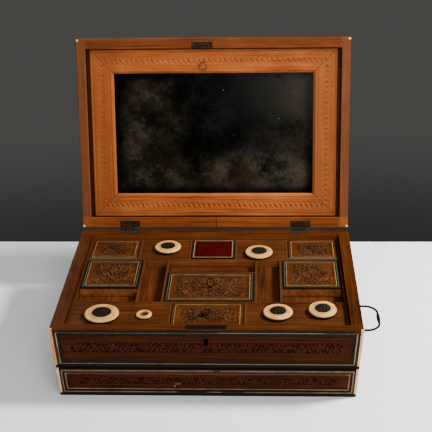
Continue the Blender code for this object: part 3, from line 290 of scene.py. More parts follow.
# yellowed ivory with fine growth lines, stains and open grain
def makeOldIvory():
    inputs = (
        placeInput,
        ("Pale", "Color", (0.8, 0.7, 0.5)),
        ("Yellowed", "Color", (0.6, 0.4, 0.2)),
        ("Cavity", "Float", 0.0),
    )
    outputs = (("Color", "Color"), ("Roughness", "Float"), ("Height", "Float"))
    tree, given, made = newGroup("oldIvory", inputs, outputs)
    clouds = noise(tree, given["Place"], 85.0, 4.0, 0.6)
    growth = stretched(tree, given["Place"], (240.0, 1800.0, 240.0), 2.0)
    stains = noise(tree, given["Place"], 330.0, 3.0, 0.7)
    tone = scaled(tree, growth, 0.35, times(tree, clouds, 0.75))
    colour = mix(tree, ramp(tree, tone, 0.38, 0.72), given["Pale"], given["Yellowed"])
    colour = mix(tree, ramp(tree, stains, 0.60, 0.78, 0.0, 0.55), colour, (0.20, 0.115, 0.05))
    # dirt and painted shade where the cavity is high
    colour = mix(tree, given["Cavity"], colour, (0.075, 0.040, 0.018))
    put(tree, colour, made["Color"])
    put(tree, scaled(tree, clouds, 0.28, 0.22), made["Roughness"])
    put(tree, growth, made["Height"])
    return tree


# where a surface faces the front of the box
def makeFrontFacing():
    tree, _, made = newGroup("frontFacing", (), (("Mask", "Float"),))
    normal = tree.nodes.new("ShaderNodeNewGeometry").outputs["True Normal"]
    put(tree, ramp(tree, split(tree, normal)[1], -0.55, -0.75), made["Mask"])
    return tree


# a dark inlay of small lozenges, each set with a pale or greenish dot
def makeMosaicDots():
    inputs = (("U", "Float", 0.0), ("V", "Float", 0.0), ("Pitch", "Float", 0.0013))
    tree, given, made = newGroup("mosaicDots", inputs, (("Color", "Color"), ("Dot", "Float")))
    slant = []
    for operation in ("ADD", "SUBTRACT"):
        along = calc(tree, "DIVIDE", calc(tree, operation, given["U"], given["V"]), given["Pitch"])
        slant.append((calc(tree, "FLOOR", along), calc(tree, "FRACT", along)))
    away = move(tree, "SUBTRACT", combine(tree, slant[0][1], slant[1][1], 0.0), (0.5, 0.5, 0.0))
    reach = move(tree, "LENGTH", away)
    white = tree.nodes.new("ShaderNodeTexWhiteNoise")
    put(tree, combine(tree, slant[0][0], slant[1][0], 3.0), white.inputs["Vector"])
    chance = white.outputs["Value"]
    dot = times(tree, ramp(tree, reach, 0.34, 0.24), ramp(tree, chance, 0.30, 0.42))
    tint = mix(tree, chance, (0.026, 0.028, 0.018), (0.095, 0.086, 0.052))
    line = ramp(tree, reach, 0.46, 0.56)
    base = mix(tree, line, (0.0065, 0.0080, 0.0055), (0.0150, 0.0150, 0.0090))
    put(tree, mix(tree, dot, base, tint), made["Color"])
    put(tree, dot, made["Dot"])
    return tree


# one inside a box round a middle
def inBox(tree, at, middle, half, ragged):
    return use(tree, boxMask, {"Place": at, "Middle": middle, "Half Size": half, "Ragged": ragged})["Mask"]


# one where a value lies between two limits
def between(tree, value, start, end, soft=0.0001):
    past = ramp(tree, value, start - soft, start + soft)
    return times(tree, past, ramp(tree, value, end + soft, end - soft))


# a value without its sign
def sizeOf(tree, value):
    return calc(tree, "ABSOLUTE", value)


# join colour, roughness and fine relief to a shader
def finish(tree, shader, colour, roughness, shine, height, distance, strength):
    put(tree, colour, shader["Base Color"])
    put(tree, roughness, shader["Roughness"])
    shader["Specular IOR Level"].default_value = shine
    put(tree, bump(tree, height, distance, strength), shader["Normal"])


woodGrain = makeWoodGrain()
dirtAndCornerShade = makeDirtAndCornerShade()
edgeWear = makeEdgeWear()
handlingMarks = makeMarks()
boxMask = makeBoxMask()
oldIvory = makeOldIvory()
mosaicDots = makeMosaicDots()
frontFacing = makeFrontFacing()
print("shared effects made")

# near-black brown for dirt and painted shade in corners and carved recesses
grimeAndShadeColour = (0.012, 0.007, 0.004)

woodTones = {
    # name: pale, middle, dark, streak width, roughness
    "caseWood": ((0.074, 0.0205, 0.0042), (0.046, 0.0115, 0.0022), (0.015, 0.0042, 0.0013), 0.0024, 0.50),
    "rimWood": ((0.175, 0.048, 0.0100), (0.120, 0.0295, 0.0060), (0.050, 0.0118, 0.0030), 0.0022, 0.52),
    "panelWood": ((0.060, 0.0135, 0.0026), (0.034, 0.0072, 0.0014), (0.011, 0.0026, 0.0009), 0.0017, 0.55),
    "trayWood": ((0.084, 0.0240, 0.0052), (0.049, 0.0128, 0.0028), (0.018, 0.0048, 0.0013), 0.0019, 0.52),
    "lidWood": ((0.088, 0.0250, 0.0040), (0.050, 0.0130, 0.0020), (0.019, 0.0048, 0.0010), 0.0018, 0.52),
    "frameWood": ((0.415, 0.118, 0.0265), (0.310, 0.077, 0.0160), (0.165, 0.036, 0.0078), 0.0020, 0.52),
}


# the same place with X and Y changed over
def acrossPlace(tree, spot):
    parts = split(tree, spot)
    return combine(tree, parts[1], parts[0], parts[2])


# place with the grain along X, turned to run along Y where asked
def turnedWhere(tree, turn, spot):
    node = tree.nodes.new("ShaderNodeMix")
    node.data_type = "VECTOR"
    put(tree, turn, node.inputs[0])
    put(tree, spot, node.inputs[4])
    put(tree, acrossPlace(tree, spot), node.inputs[5])
    return node.outputs[1]


# boards beyond sideX, and between front and back, have their grain along Y
def boardPlace(tree, sideX, front, back):
    spot = place(tree)
    parts = split(tree, spot)
    beyond = calc(tree, "GREATER_THAN", sizeOf(tree, parts[0]), sideX)
    behind = times(tree, beyond, calc(tree, "GREATER_THAN", parts[1], front))
    return turnedWhere(tree, times(tree, behind, calc(tree, "LESS_THAN", parts[1], back)), spot)


def growGrain(tree, spot, tones, seed):
    pale, middle, dark, streak, _ = woodTones[tones]
    return use(tree, woodGrain, {
        "Place": spot, "Pale": pale, "Middle": middle, "Dark": dark, "Streak Width": streak, "Seed": seed,
    })


# wood with grain, dirt and painted shade in the corners, rubbed edges and marks of use
def woodMaterial(name, tones, spotAt, seed, dirtAndShade, dirtAndShadeReach, wear, shine, extra):
    made, tree, shader = newMaterial(name)
    pale, _, dark, _, roughness = woodTones[tones]
    spot = spotAt(tree)
    grain = growGrain(tree, spot, tones, seed)
    marks = use(tree, handlingMarks, {"Place": spot, "Density": 0.6})
    colour = mix(tree, times(tree, marks["Smudges"], 0.22), grain["Color"], dark)
    colour = mix(tree, marks["Scratches"], colour, pale)
    lightened = use(tree, edgeWear, {"Place": spot, "Amount": wear})["Mask"]
    colour = mix(tree, lightened, colour, tuple(1.35 * part for part in pale))
    # dirt and painted shade in the corners, from ambient occlusion
    cornerDirtAndShade = use(tree, dirtAndCornerShade, {"Place": spot, "Reach": dirtAndShadeReach, "Amount": dirtAndShade})["Mask"]
    colour = extra(tree, mix(tree, cornerDirtAndShade, colour, grimeAndShadeColour))
    rough = scaled(tree, marks["Smudges"], 0.16, roughness - 0.06)
    rough = scaled(tree, grain["Tone"], -0.10, rough)
    finish(tree, shader, colour, rough, shine, grain["Height"], 0.00012, 0.7)
    return made


caseMarks = {
    # where the side boards begin, and the inner faces in front and behind
    "boards": (0.1655, -0.1152, 0.1132),
    "foot": (0.0036, 0.0028),       # heights where the black foot line fades out
    "band": ((0.0, -0.122, 0.0390), (0.2, 0.0065, 0.0048)),
    "backWall": 0.10,               # faces behind this that look forward are painted brighter, as painted light
    "paintedBrighter": (4.2, 4.2, 3.8),
    "nails": ((-0.0380, 0.1262, 0.0910), (0.0177, 0.1262, 0.0910)),
    "shadedHollows": (                    # painted shade in the keyhole and in the hollow under the rim above the carved front
        ((0.0, frontY, 0.0749), (0.006, 0.009, 0.0062)),
        ((0.0, frontY, 0.0885), (0.17, 0.0012, 0.0011)),
    ),
}


# foot line, painted shade on the band between the tiers, back wall painted brighter as painted light, two
# nail holes, and painted shade in the keyhole and under the rim
def caseExtra(tree, colour):
    at = place(tree)
    parts = split(tree, at)
    foot = ramp(tree, parts[2], *caseMarks["foot"])
    colour = mix(tree, times(tree, foot, 0.9), colour, (0.010, 0.009, 0.008))
    # painted shade: the band in the gap between the tiers is painted near-black
    band = inBox(tree, at, *caseMarks["band"], 0.00005)
    colour = mix(tree, times(tree, band, 0.95), colour, (0.0050, 0.0050, 0.0036))
    # painted light: forward-looking faces at the back are made several times brighter
    behind = calc(tree, "GREATER_THAN", parts[1], caseMarks["backWall"])
    inner = times(tree, use(tree, frontFacing, {})["Mask"], behind)
    colour = mix(tree, inner, colour, caseMarks["paintedBrighter"], "MULTIPLY")
    for nail in caseMarks["nails"]:
        away = move(tree, "LENGTH", move(tree, "SUBTRACT", at, nail))
        colour = mix(tree, ramp(tree, away, 0.0014, 0.0009), colour, (0.006, 0.004, 0.003))
    # painted shade: the keyhole and the hollow under the rim are painted near-black
    for middle, half in caseMarks["shadedHollows"]:
        hole = inBox(tree, at, middle, half, 0.00004)
        colour = mix(tree, times(tree, hole, 0.92), colour, (0.008, 0.006, 0.005))
    return colour


def caseSpot(tree):
    return boardPlace(tree, *caseMarks["boards"])


hingePlace = (0.0, 0.1291, 0.09125)
lidLean = math.radians(103.0)
lidFrame = Matrix.Translation(hingePlace) @ Matrix.Rotation(-lidLean, 4, "X")


# place in the closed lid's own frame
def lidSpot(tree):
    node = tree.nodes.new("ShaderNodeMapping")
    node.vector_type = "POINT"
    put(tree, place(tree), node.inputs["Vector"])
    node.inputs["Rotation"].default_value = (lidLean, 0.0, 0.0)
    turned = Matrix.Rotation(lidLean, 3, "X") @ Vector(hingePlace)
    node.inputs["Location"].default_value = -turned
    return node.outputs[0]


lidMarks = {
    "sideX": 0.1676,                            # inner faces of the lid's side boards
    "topInside": 0.0282,                        # inner face of the lid's top
    "outerX": 0.1795,
    "rimFace": 0.0012,
    "wellFront": -0.2422,
    "wellBack": -0.0166,
    "rail": (-0.0172, -0.0164),                 # the rail along the hinges, painted brighter as painted light
    "crackX": 0.0022,
}


# grain along X in the closed lid, and along Y in its side boards
def lidBoards(tree):
    spot = lidSpot(tree)
    parts = split(tree, spot)
    beyond = calc(tree, "GREATER_THAN", sizeOf(tree, parts[0]), lidMarks["sideX"])
    inside = calc(tree, "LESS_THAN", parts[2], lidMarks["topInside"])
    return turnedWhere(tree, times(tree, beyond, inside), spot)


def grainSpot(tree):
    return stored(tree, "grainPlace", "Vector")


# carved wood: recesses darkened with dirt and painted shade, high parts lightened with a painted highlight,
# and inlaid lines or marks where asked
def carvedMaterial(name, tones, seed, stain, stainAmount, extra, recess, depth, uneven, shine, highlightTone):
    made, tree, shader = newMaterial(name)
    pale, _, dark, _, roughness = woodTones[tones]
    spot = grainSpot(tree)
    cavity = stored(tree, "cavity")
    carved = stored(tree, "carved")
    grain = growGrain(tree, spot, tones, seed)
    marks = use(tree, handlingMarks, {"Place": spot, "Density": 0.5})
    colour = mix(tree, times(tree, marks["Smudges"], 0.25), grain["Color"], dark)
    colour = mix(tree, marks["Scratches"], colour, pale)
    colour = mix(tree, times(tree, carved, stainAmount), colour, stain)
    # painted highlight on the raised parts of the carving
    lightened = times(tree, ramp(tree, cavity, 0.42, 0.10), times(tree, carved, 0.35))
    colour = mix(tree, lightened, colour, highlightTone)
    packed = noise(tree, spot, 420.0, 3.0, 0.6)
    filled = noise(tree, move(tree, "ADD", spot, (0.31, 0.17, 0.0)), 150.0, 3.0, 0.6)
    # dirt and painted shade in the recesses
    deep = ramp(tree, scaled(tree, packed, 0.50, cavity), 0.62, 1.20)
    deep = times(tree, deep, ramp(tree, filled, 0.36, 0.58, uneven, 1.0))
    colour = mix(tree, times(tree, deep, depth), colour, recess)
    if extra:
        colour = extra(tree, colour)
    rough = scaled(tree, grain["Tone"], -0.08, scaled(tree, deep, 0.30, roughness))
    finish(tree, shader, colour, rough, shine, grain["Height"], 0.00010, 0.7)
    return made


lidInlays = {
    # distances from the lid's edge in metres: start, end, kind
    "lined": ((0.0, 0.0022, "ebony"), (0.0022, 0.0029, "greenString"), (0.0029, 0.0047, "ebony"),
              (0.0047, 0.0055, "string"), (0.0055, 0.0060, "shade")),
    "plain": ((0.0, 0.0006, "ebony"), (0.0038, 0.0045, "string"), (0.0045, 0.0051, "shade")),
}


ringShadowStreak = {
    # middle of the diagonal streak, a painted shadow of the front ring pull with a scratch, its direction,
    # and the half length and half width where it fades
    "middle": (-0.0106, -0.0843, 0.0845), "along": (0.765, 0.644),
    "length": (0.0180, 0.0150), "width": (0.0019, 0.0009), "ragged": 0.0022,
}
backLine = (0.0588, 0.0585)     # the back lids' front edge, where a pale line ends


# a pale line along the back lids' front edge
def backLidLine(tree, colour, tone):
    across = split(tree, place(tree))[1]
    line = times(tree, ramp(tree, across, *backLine), calc(tree, "GREATER_THAN", across, 0.0))
    return mix(tree, line, colour, tone)


# painted shadow of the front ring pull, with a scratch: a dark diagonal streak on the front lid
def paintRingShadow(tree, colour, worn):
    away = split(tree, move(tree, "SUBTRACT", place(tree), ringShadowStreak["middle"]))
    cosine, sine = ringShadowStreak["along"]
    along = scaled(tree, away[0], cosine, times(tree, away[1], sine))
    across = scaled(tree, away[0], -sine, times(tree, away[1], cosine))
    ragged = scaled(tree, worn, ringShadowStreak["ragged"], -0.5 * ringShadowStreak["ragged"])
    wide = sizeOf(tree, calc(tree, "ADD", across, ragged))
    ends = ramp(tree, sizeOf(tree, along), *ringShadowStreak["length"])
    stain = times(tree, ramp(tree, wide, *ringShadowStreak["width"]), ends)
    return mix(tree, times(tree, stain, 0.85), colour, (0.0090, 0.0060, 0.0036))


# inlaid lines that follow a lid's edge
def lidInlay(kind):

    def add(tree, colour):
        spot = grainSpot(tree)
        edge = stored(tree, "edge")
        worn = noise(tree, spot, 300.0, 3.0, 0.6)
        tones = {"Pale": (0.25, 0.180, 0.085), "Yellowed": (0.110, 0.074, 0.030)}
        bone = use(tree, oldIvory, {"Place": spot, **tones})
        kinds = {
            "ebony": (0.0045, 0.0045, 0.0035),
            "shade": (0.016, 0.0075, 0.003),
            "greenString": (0.072, 0.060, 0.030),
            "string": bone["Color"],
        }
        for start, end, label in lidInlays[kind]:
            inside = between(tree, edge, start, end)
            if label == "string":
                inside = times(tree, inside, ramp(tree, worn, 0.26, 0.40))
            colour = mix(tree, inside, colour, kinds[label])
        # plain lids also get a pale line and the painted shadow of the front ring pull
        if kind == "plain":
            colour = backLidLine(tree, colour, kinds["greenString"])
            colour = paintRingShadow(tree, colour, worn)
        return colour

    return add


# ivory with dirt and painted shade from the carving or from its corners, and with places where it is lost or
# stained
def ivoryMaterial(name, pale, yellowed, cavityFrom=None, lost=()):
    made, tree, shader = newMaterial(name)
    spot = place(tree)
    if cavityFrom:
        cavity = stored(tree, cavityFrom)
    else:
        cavity = use(tree, dirtAndCornerShade, {"Place": spot, "Reach": 0.0015, "Amount": 0.75})["Mask"]
    bone = use(tree, oldIvory, {"Place": spot, "Pale": pale, "Yellowed": yellowed, "Cavity": cavity})
    colour = bone["Color"]
    for middle, half, ragged, left in lost:
        colour = mix(tree, inBox(tree, spot, middle, half, ragged), colour, left)
    finish(tree, shader, colour, bone["Roughness"], 0.20, bone["Height"], 0.00005, 0.5)
    shader["Subsurface Weight"].default_value = 0.08
    shader["Subsurface Radius"].default_value = (0.004, 0.002, 0.001)
    shader["Subsurface Scale"].default_value = 0.5
    return made


def mosaicMaterial():
    made, tree, shader = newMaterial("inlaidMosaic")
    spot = place(tree)
    parts = split(tree, spot)
    dots = use(tree, mosaicDots, {"U": parts[0], "V": parts[2], "Pitch": 0.0014})
    worn = noise(tree, spot, 160.0, 4.0, 0.6)
    colour = mix(tree, ramp(tree, worn, 0.55, 0.75, 0.0, 0.8), dots["Color"], (0.028, 0.0135, 0.0060))
    colour = mix(tree, 1.0, colour, (0.56, 0.43, 0.29), "MULTIPLY")
    relief = scaled(tree, worn, 0.6, dots["Dot"])
    finish(tree, shader, colour, scaled(tree, worn, 0.3, 0.35), 0.03, relief, 0.00006, 0.6)
    return made


bandTop = (0.0300, 0.0312)      # heights where the drawer's dark band turns to brown


# dark greenish band between the drawer's strings
def bandMaterial():
    made, tree, shader = newMaterial("drawerBandWood")
    spot = place(tree)
    clouds = stretched(tree, spot, (140.0, 900.0, 900.0), 3.0, 0.6)
    colour = mix(tree, clouds, (0.0050, 0.0046, 0.0028), (0.0170, 0.0110, 0.0055))
    upper = ramp(tree, split(tree, spot)[2], *bandTop, 0.0, 0.85)
    colour = mix(tree, upper, colour, (0.043, 0.0165, 0.0080))
    finish(tree, shader, colour, scaled(tree, clouds, 0.3, 0.40), 0.04, clouds, 0.00008, 0.6)
    return made


# dark metal with rusty or brown patches between two limits of a noise
def metalMaterial(name, base, rust, limits, roughness, metallic, shine):
    made, tree, shader = newMaterial(name)
    spot = place(tree)
    clouds = noise(tree, spot, 210.0, 5.0, 0.65)
    pits = spots(tree, spot, 900.0)[0]
    patina = ramp(tree, clouds, *limits)
    # dirt and painted shade in the metal's corners, from ambient occlusion
    cornerDirtAndShade = use(tree, dirtAndCornerShade, {"Place": spot, "Reach": 0.003, "Amount": 0.7})["Mask"]
    colour = mix(tree, cornerDirtAndShade, mix(tree, patina, base, rust), grimeAndShadeColour)
    put(tree, ramp(tree, clouds, *limits, metallic, 0.3 * metallic), shader["Metallic"])
    rough = scaled(tree, ramp(tree, pits, 0.10, 0.35), 0.5, clouds)
    finish(tree, shader, colour, scaled(tree, patina, 0.32, roughness), shine, rough, 0.00010, 0.7)
    return made


def velvetMaterial():
    made, tree, shader = newMaterial("redVelvet")
    spot = place(tree)
    pile = noise(tree, spot, 2600.0, 2.0, 0.7)
    brushed = noise(tree, spot, 95.0, 3.0, 0.6)
    worn = noise(tree, spot, 42.0, 4.0, 0.6)
    colour = mix(tree, ramp(tree, brushed, 0.35, 0.65), (0.021, 0.0005, 0.0003), (0.041, 0.0009, 0.0005))
    colour = mix(tree, ramp(tree, pile, 0.35, 0.75, 0.0, 0.6), colour, (0.020, 0.0006, 0.0008))
    colour = mix(tree, ramp(tree, worn, 0.60, 0.78, 0.0, 0.4), colour, (0.050, 0.0030, 0.0016))
    pins = spots(tree, spot, 210.0)[0]
    colour = mix(tree, ramp(tree, pins, 0.16, 0.06, 0.0, 0.8), colour, (0.008, 0.0006, 0.0006))
    relief = scaled(tree, brushed, 1.5, pile)
    finish(tree, shader, colour, 0.95, 0.02, relief, 0.00025, 0.9)
    shader["Sheen Weight"].default_value = 0.02
    shader["Sheen Roughness"].default_value = 0.4
    shader["Sheen Tint"].default_value = (0.50, 0.010, 0.006, 1.0)
    return made


glassMarks = {
    "clearX": 0.012,                            # middle of the clear, darkest part
    "clear": (0.020, 0.115),                    # distances from it where the clouding sets in
    "foot": (-0.120, -0.065),                   # the clouding near the hinges
    "middleY": -0.12945, "halfX": 0.1318, "halfY": 0.08095,
}


# old silvering: clouded, streaked and spotted, darkest in the middle and at the edges
def mirrorMaterial():
    made, tree, shader = newMaterial("oldLookingGlass")
    spot = lidSpot(tree)
    parts = split(tree, spot)
    clouds = noise(tree, spot, 24.0, 5.0, 0.62)
    brown = noise(tree, move(tree, "ADD", spot, (3.1, 1.7, 0.4)), 15.0, 4.0, 0.6)
    fine = noise(tree, spot, 210.0, 4.0, 0.72)
    veils = stretched(tree, spot, (36.0, 110.0, 1.0), 4.0, 0.65)
    distance, tint = spots(tree, spot, 150.0)
    tarnish = scaled(tree, fine, 0.28, times(tree, clouds, 0.70))
    aside = sizeOf(tree, calc(tree, "SUBTRACT", parts[0], glassMarks["clearX"]))
    outward = ramp(tree, aside, *glassMarks["clear"], 0.03, 0.8)
    outward = times(tree, outward, ramp(tree, parts[0], 0.0, 0.090, 1.0, 0.55))
    outward = calc(tree, "MAXIMUM", outward, ramp(tree, parts[1], *glassMarks["foot"], 0.0, 1.7))
    haze = times(tree, ramp(tree, tarnish, 0.34, 0.64), outward)
    colour = mix(tree, haze, (0.0022, 0.0024, 0.0020), (0.0350, 0.0280, 0.0175))
    rust = times(tree, ramp(tree, brown, 0.46, 0.76, 0.0, 0.75), outward)
    colour = mix(tree, rust, colour, (0.0330, 0.0190, 0.0105))
    patchy = times(tree, ramp(tree, veils, 0.50, 0.80), ramp(tree, fine, 0.36, 0.70))
    patchy = times(tree, patchy, times(tree, outward, 0.5))
    colour = mix(tree, patchy, colour, (0.0750, 0.0680, 0.0540))
    chance = calc(tree, "GREATER_THAN", split(tree, tint)[0], 0.93)
    speck = times(tree, ramp(tree, distance, 0.10, 0.03), chance)
    colour = mix(tree, speck, colour, (0.30, 0.29, 0.26))
    edgeX = calc(tree, "SUBTRACT", glassMarks["halfX"], sizeOf(tree, parts[0]))
    fromMiddle = sizeOf(tree, calc(tree, "SUBTRACT", parts[1], glassMarks["middleY"]))
    edge = calc(tree, "MINIMUM", edgeX, calc(tree, "SUBTRACT", glassMarks["halfY"], fromMiddle))
    edge = scaled(tree, fine, -0.010, edge)
    colour = mix(tree, ramp(tree, edge, 0.010, -0.003), colour, (0.0035, 0.0030, 0.0028))
    put(tree, ramp(tree, tarnish, 0.45, 0.70, 0.6, 0.2), shader["Metallic"])
    finish(tree, shader, colour, ramp(tree, tarnish, 0.40, 0.70, 0.12, 0.40), 0.06, fine, 0.00002, 0.4)
    return made


# dark greenish-brown carved inserts
def hornMaterial():
    made, tree, shader = newMaterial("darkCarvedHorn")
    spot = place(tree)
    cavity = stored(tree, "cavity")
    clouds = noise(tree, spot, 500.0, 4.0, 0.6)
    colour = mix(tree, clouds, (0.0030, 0.0022, 0.0014), (0.0170, 0.0105, 0.0052))
    # painted shade in the carved hollows
    colour = mix(tree, ramp(tree, cavity, 0.35, 0.85), colour, (0.004, 0.003, 0.002))
    finish(tree, shader, colour, scaled(tree, clouds, 0.3, 0.38), 0.06, clouds, 0.00006, 0.5)
    return made


drawerMarks = {
    "top": (0.0338, 0.0346),                    # heights where the painted shade on the top edge sets in
    "chips": (
        # middle, half size, raggedness and colour of the old chips and of the joint beside them
        ((-0.0381, frontY, 0.0325), (0.0007, 0.002, 0.0024), 0.0005, (0.26, 0.105, 0.030)),
        ((-0.0340, frontY, 0.0168), (0.0034, 0.002, 0.0009), 0.0006, (0.19, 0.070, 0.018)),
        ((-0.0378, frontY, 0.0138), (0.0010, 0.002, 0.0010), 0.0004, (0.34, 0.170, 0.065)),
        ((-0.0388, frontY, 0.0210), (0.0002, 0.002, 0.0140), 0.0001, (0.010, 0.004, 0.002)),
    ),
}


# painted shade: the drawer's top edge is darkened where it meets the board above
def drawerTopShade(tree, colour):
    top = ramp(tree, split(tree, place(tree))[2], *drawerMarks["top"], 0.0, 0.9)
    return mix(tree, top, colour, (0.010, 0.005, 0.003))


def drawerExtra(tree, colour):
    at = place(tree)
    for middle, half, ragged, chip in drawerMarks["chips"]:
        colour = mix(tree, times(tree, inBox(tree, at, middle, half, ragged), 0.9), colour, chip)
    return colour


trayMarks = {
    "boards": (0.1619, -0.1115, 0.1095),
    "uprights": (
        # middle and half size of the upright boards' top edges, the same on both sides
        ((0.0450, -0.083, trayTop), (0.0014, 0.0290, 0.0004)),
        ((0.0567, 0.000, trayTop), (0.0014, 0.0530, 0.0004)),
        ((0.0877, 0.000, trayTop), (0.0014, 0.0530, 0.0004)),
        ((0.0300, 0.083, trayTop), (0.0014, 0.0270, 0.0004)),
        ((0.0962, 0.083, trayTop), (0.0014, 0.0270, 0.0004)),
    ),
    "joints": (
        ((-0.0918, -0.083, trayTop), (0.0005, 0.0272, 0.001)),
        ((0.1034, -0.083, trayTop), (0.0005, 0.0272, 0.001)),
    ),
    "paintedBrighter": (3.9, 4.2, 5.0),                 # the upright faces that look forward, painted brighter as painted light
}


def traySpot(tree):
    return boardPlace(tree, *trayMarks["boards"])


# grain along Y
def acrossSpot(tree):
    return acrossPlace(tree, place(tree))


# mauve-brown top edges of the upright boards, joints across the front decks, and forward-looking faces
# painted brighter as painted light
def trayExtra(tree, colour):
    at = place(tree)
    parts = split(tree, at)
    aside = combine(tree, sizeOf(tree, parts[0]), parts[1], parts[2])
    for middle, half in trayMarks["uprights"]:
        top = inBox(tree, aside, middle, half, 0.0002)
        colour = mix(tree, times(tree, top, 0.5), colour, (0.058, 0.0240, 0.0100))
    for middle, half in trayMarks["joints"]:
        joint = inBox(tree, at, middle, half, 0.0001)
        colour = mix(tree, times(tree, joint, 0.7), colour, (0.020, 0.007, 0.002))
    # painted light: forward-looking faces are made several times brighter
    return mix(tree, use(tree, frontFacing, {})["Mask"], colour, trayMarks["paintedBrighter"], "MULTIPLY")


# the lid's outer faces are darker than its rim, and its rail along the hinges is painted brighter as painted
# light, and cracked
def lidExtra(tree, colour):
    parts = split(tree, lidSpot(tree))
    aside = sizeOf(tree, parts[0])
    outside = calc(tree, "MAXIMUM", calc(tree, "GREATER_THAN", aside, lidMarks["outerX"]),
                   calc(tree, "GREATER_THAN", parts[2], lidMarks["rimFace"]))
    within = calc(tree, "LESS_THAN", aside, lidMarks["sideX"])
    for operation, axis, limit in (
        ("GREATER_THAN", 1, "wellFront"), ("LESS_THAN", 1, "wellBack"), ("LESS_THAN", 2, "topInside"),
    ):
        within = times(tree, within, calc(tree, operation, parts[axis], lidMarks[limit]))
    outside = times(tree, outside, calc(tree, "SUBTRACT", 1.0, within))
    colour = mix(tree, ramp(tree, aside, 0.1660, 0.1690, 0.0, 0.35), colour, (0.150, 0.056, 0.0240))
    # painted light: the rail along the hinges is made brighter
    rail = ramp(tree, parts[1], *lidMarks["rail"])
    colour = mix(tree, rail, colour, (1.55, 1.45, 1.1), "MULTIPLY")
    fromCrack = sizeOf(tree, calc(tree, "SUBTRACT", parts[0], lidMarks["crackX"]))
    crack = times(tree, rail, ramp(tree, fromCrack, 0.0006, 0.0003))
    colour = mix(tree, crack, colour, (0.014, 0.005, 0.002))
    return mix(tree, times(tree, outside, 0.8), colour, (0.022, 0.0065, 0.0024))


frameMarks = {
    "deeper": (                                 # where the frame's ends turn deeper in colour
        (-0.118, -0.134, 0.65, (0.185, 0.046, 0.0105)),
        (0.118, 0.134, 0.60, (0.190, 0.053, 0.0130)),
    ),
    "wormHoles": ((-0.1455, -0.1430, 0.0030), (0.1430, -0.1560, 0.0030)),
}


def frameExtra(tree, colour):
    lid = lidSpot(tree)
    parts = split(tree, lid)
    for start, end, amount, tone in frameMarks["deeper"]:
        colour = mix(tree, ramp(tree, parts[0], start, end, 0.0, amount), colour, tone)
    for middle in frameMarks["wormHoles"]:
        away = move(tree, "LENGTH", move(tree, "SUBTRACT", lid, middle))
        colour = mix(tree, ramp(tree, away, 0.0008, 0.0004, 0.0, 0.9), colour, (0.030, 0.009, 0.003))
    return colour


cushionMarks = {
    "middle": (0.0, 0.0828, 0.0), "halfX": 0.0277, "halfY": 0.0256,
    # start and end of each line, in from the edge, and its colour
    "lines": ((-0.001, 0.0014, (0.008, 0.006, 0.004)), (0.0022, 0.0029, (0.23, 0.160, 0.075))),
}


# inlaid lines round the pincushion
def cushionExtra(tree, colour):
    away = split(tree, move(tree, "ABSOLUTE", move(tree, "SUBTRACT", place(tree), cushionMarks["middle"])))
    edge = calc(tree, "MINIMUM", calc(tree, "SUBTRACT", cushionMarks["halfX"], away[0]),
                calc(tree, "SUBTRACT", cushionMarks["halfY"], away[1]))
    for start, end, tone in cushionMarks["lines"]:
        colour = mix(tree, between(tree, edge, start, end), colour, tone)
    return colour


stringLosses = (
    # middle, half size, raggedness and colour of the places where the drawer's strings are lost or stained
    ((-0.0185, frontY, 0.0053), (0.0175, 0.002, 0.0009), 0.00025, (0.010, 0.006, 0.004)),
    ((0.0300, frontY, 0.0053), (0.0130, 0.002, 0.0009), 0.00025, (0.014, 0.008, 0.005)),
    ((0.0120, frontY, 0.0349), (0.004, 0.002, 0.0008), 0.0002, (0.016, 0.006, 0.003)),
    ((0.0, frontY, 0.0306), (0.162, 0.002, 0.0008), 0.0001, (0.050, 0.0180, 0.0066)),
)
stringLow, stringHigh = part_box("upper_front_string")
stringEdges = (
    # the outer edge of the upper front's string is dark with wear
    ((0.0, frontY, stringHigh.z), (0.175, 0.002, 0.0009), 0.0001, (0.010, 0.006, 0.003)),
    ((0.0, frontY, stringLow.z), (0.175, 0.002, 0.0007), 0.0001, (0.010, 0.006, 0.003)),
    ((0.090, frontY, stringLow.z + 0.0010), (0.095, 0.002, 0.0009), 0.0002, (0.105, 0.088, 0.060)),
    ((0.075, frontY, stringHigh.z - 0.0010), (0.060, 0.002, 0.0009), 0.0002, (0.120, 0.100, 0.070)),
)
carvedStain = (0.044, 0.0110, 0.0040)
# painted highlight colour for the raised carving of the fronts
highlightStain = (0.066, 0.0165, 0.0060)
# dirt and painted shade in the carved fronts' recesses
darkRecess = (0.0055, 0.0026, 0.0014)

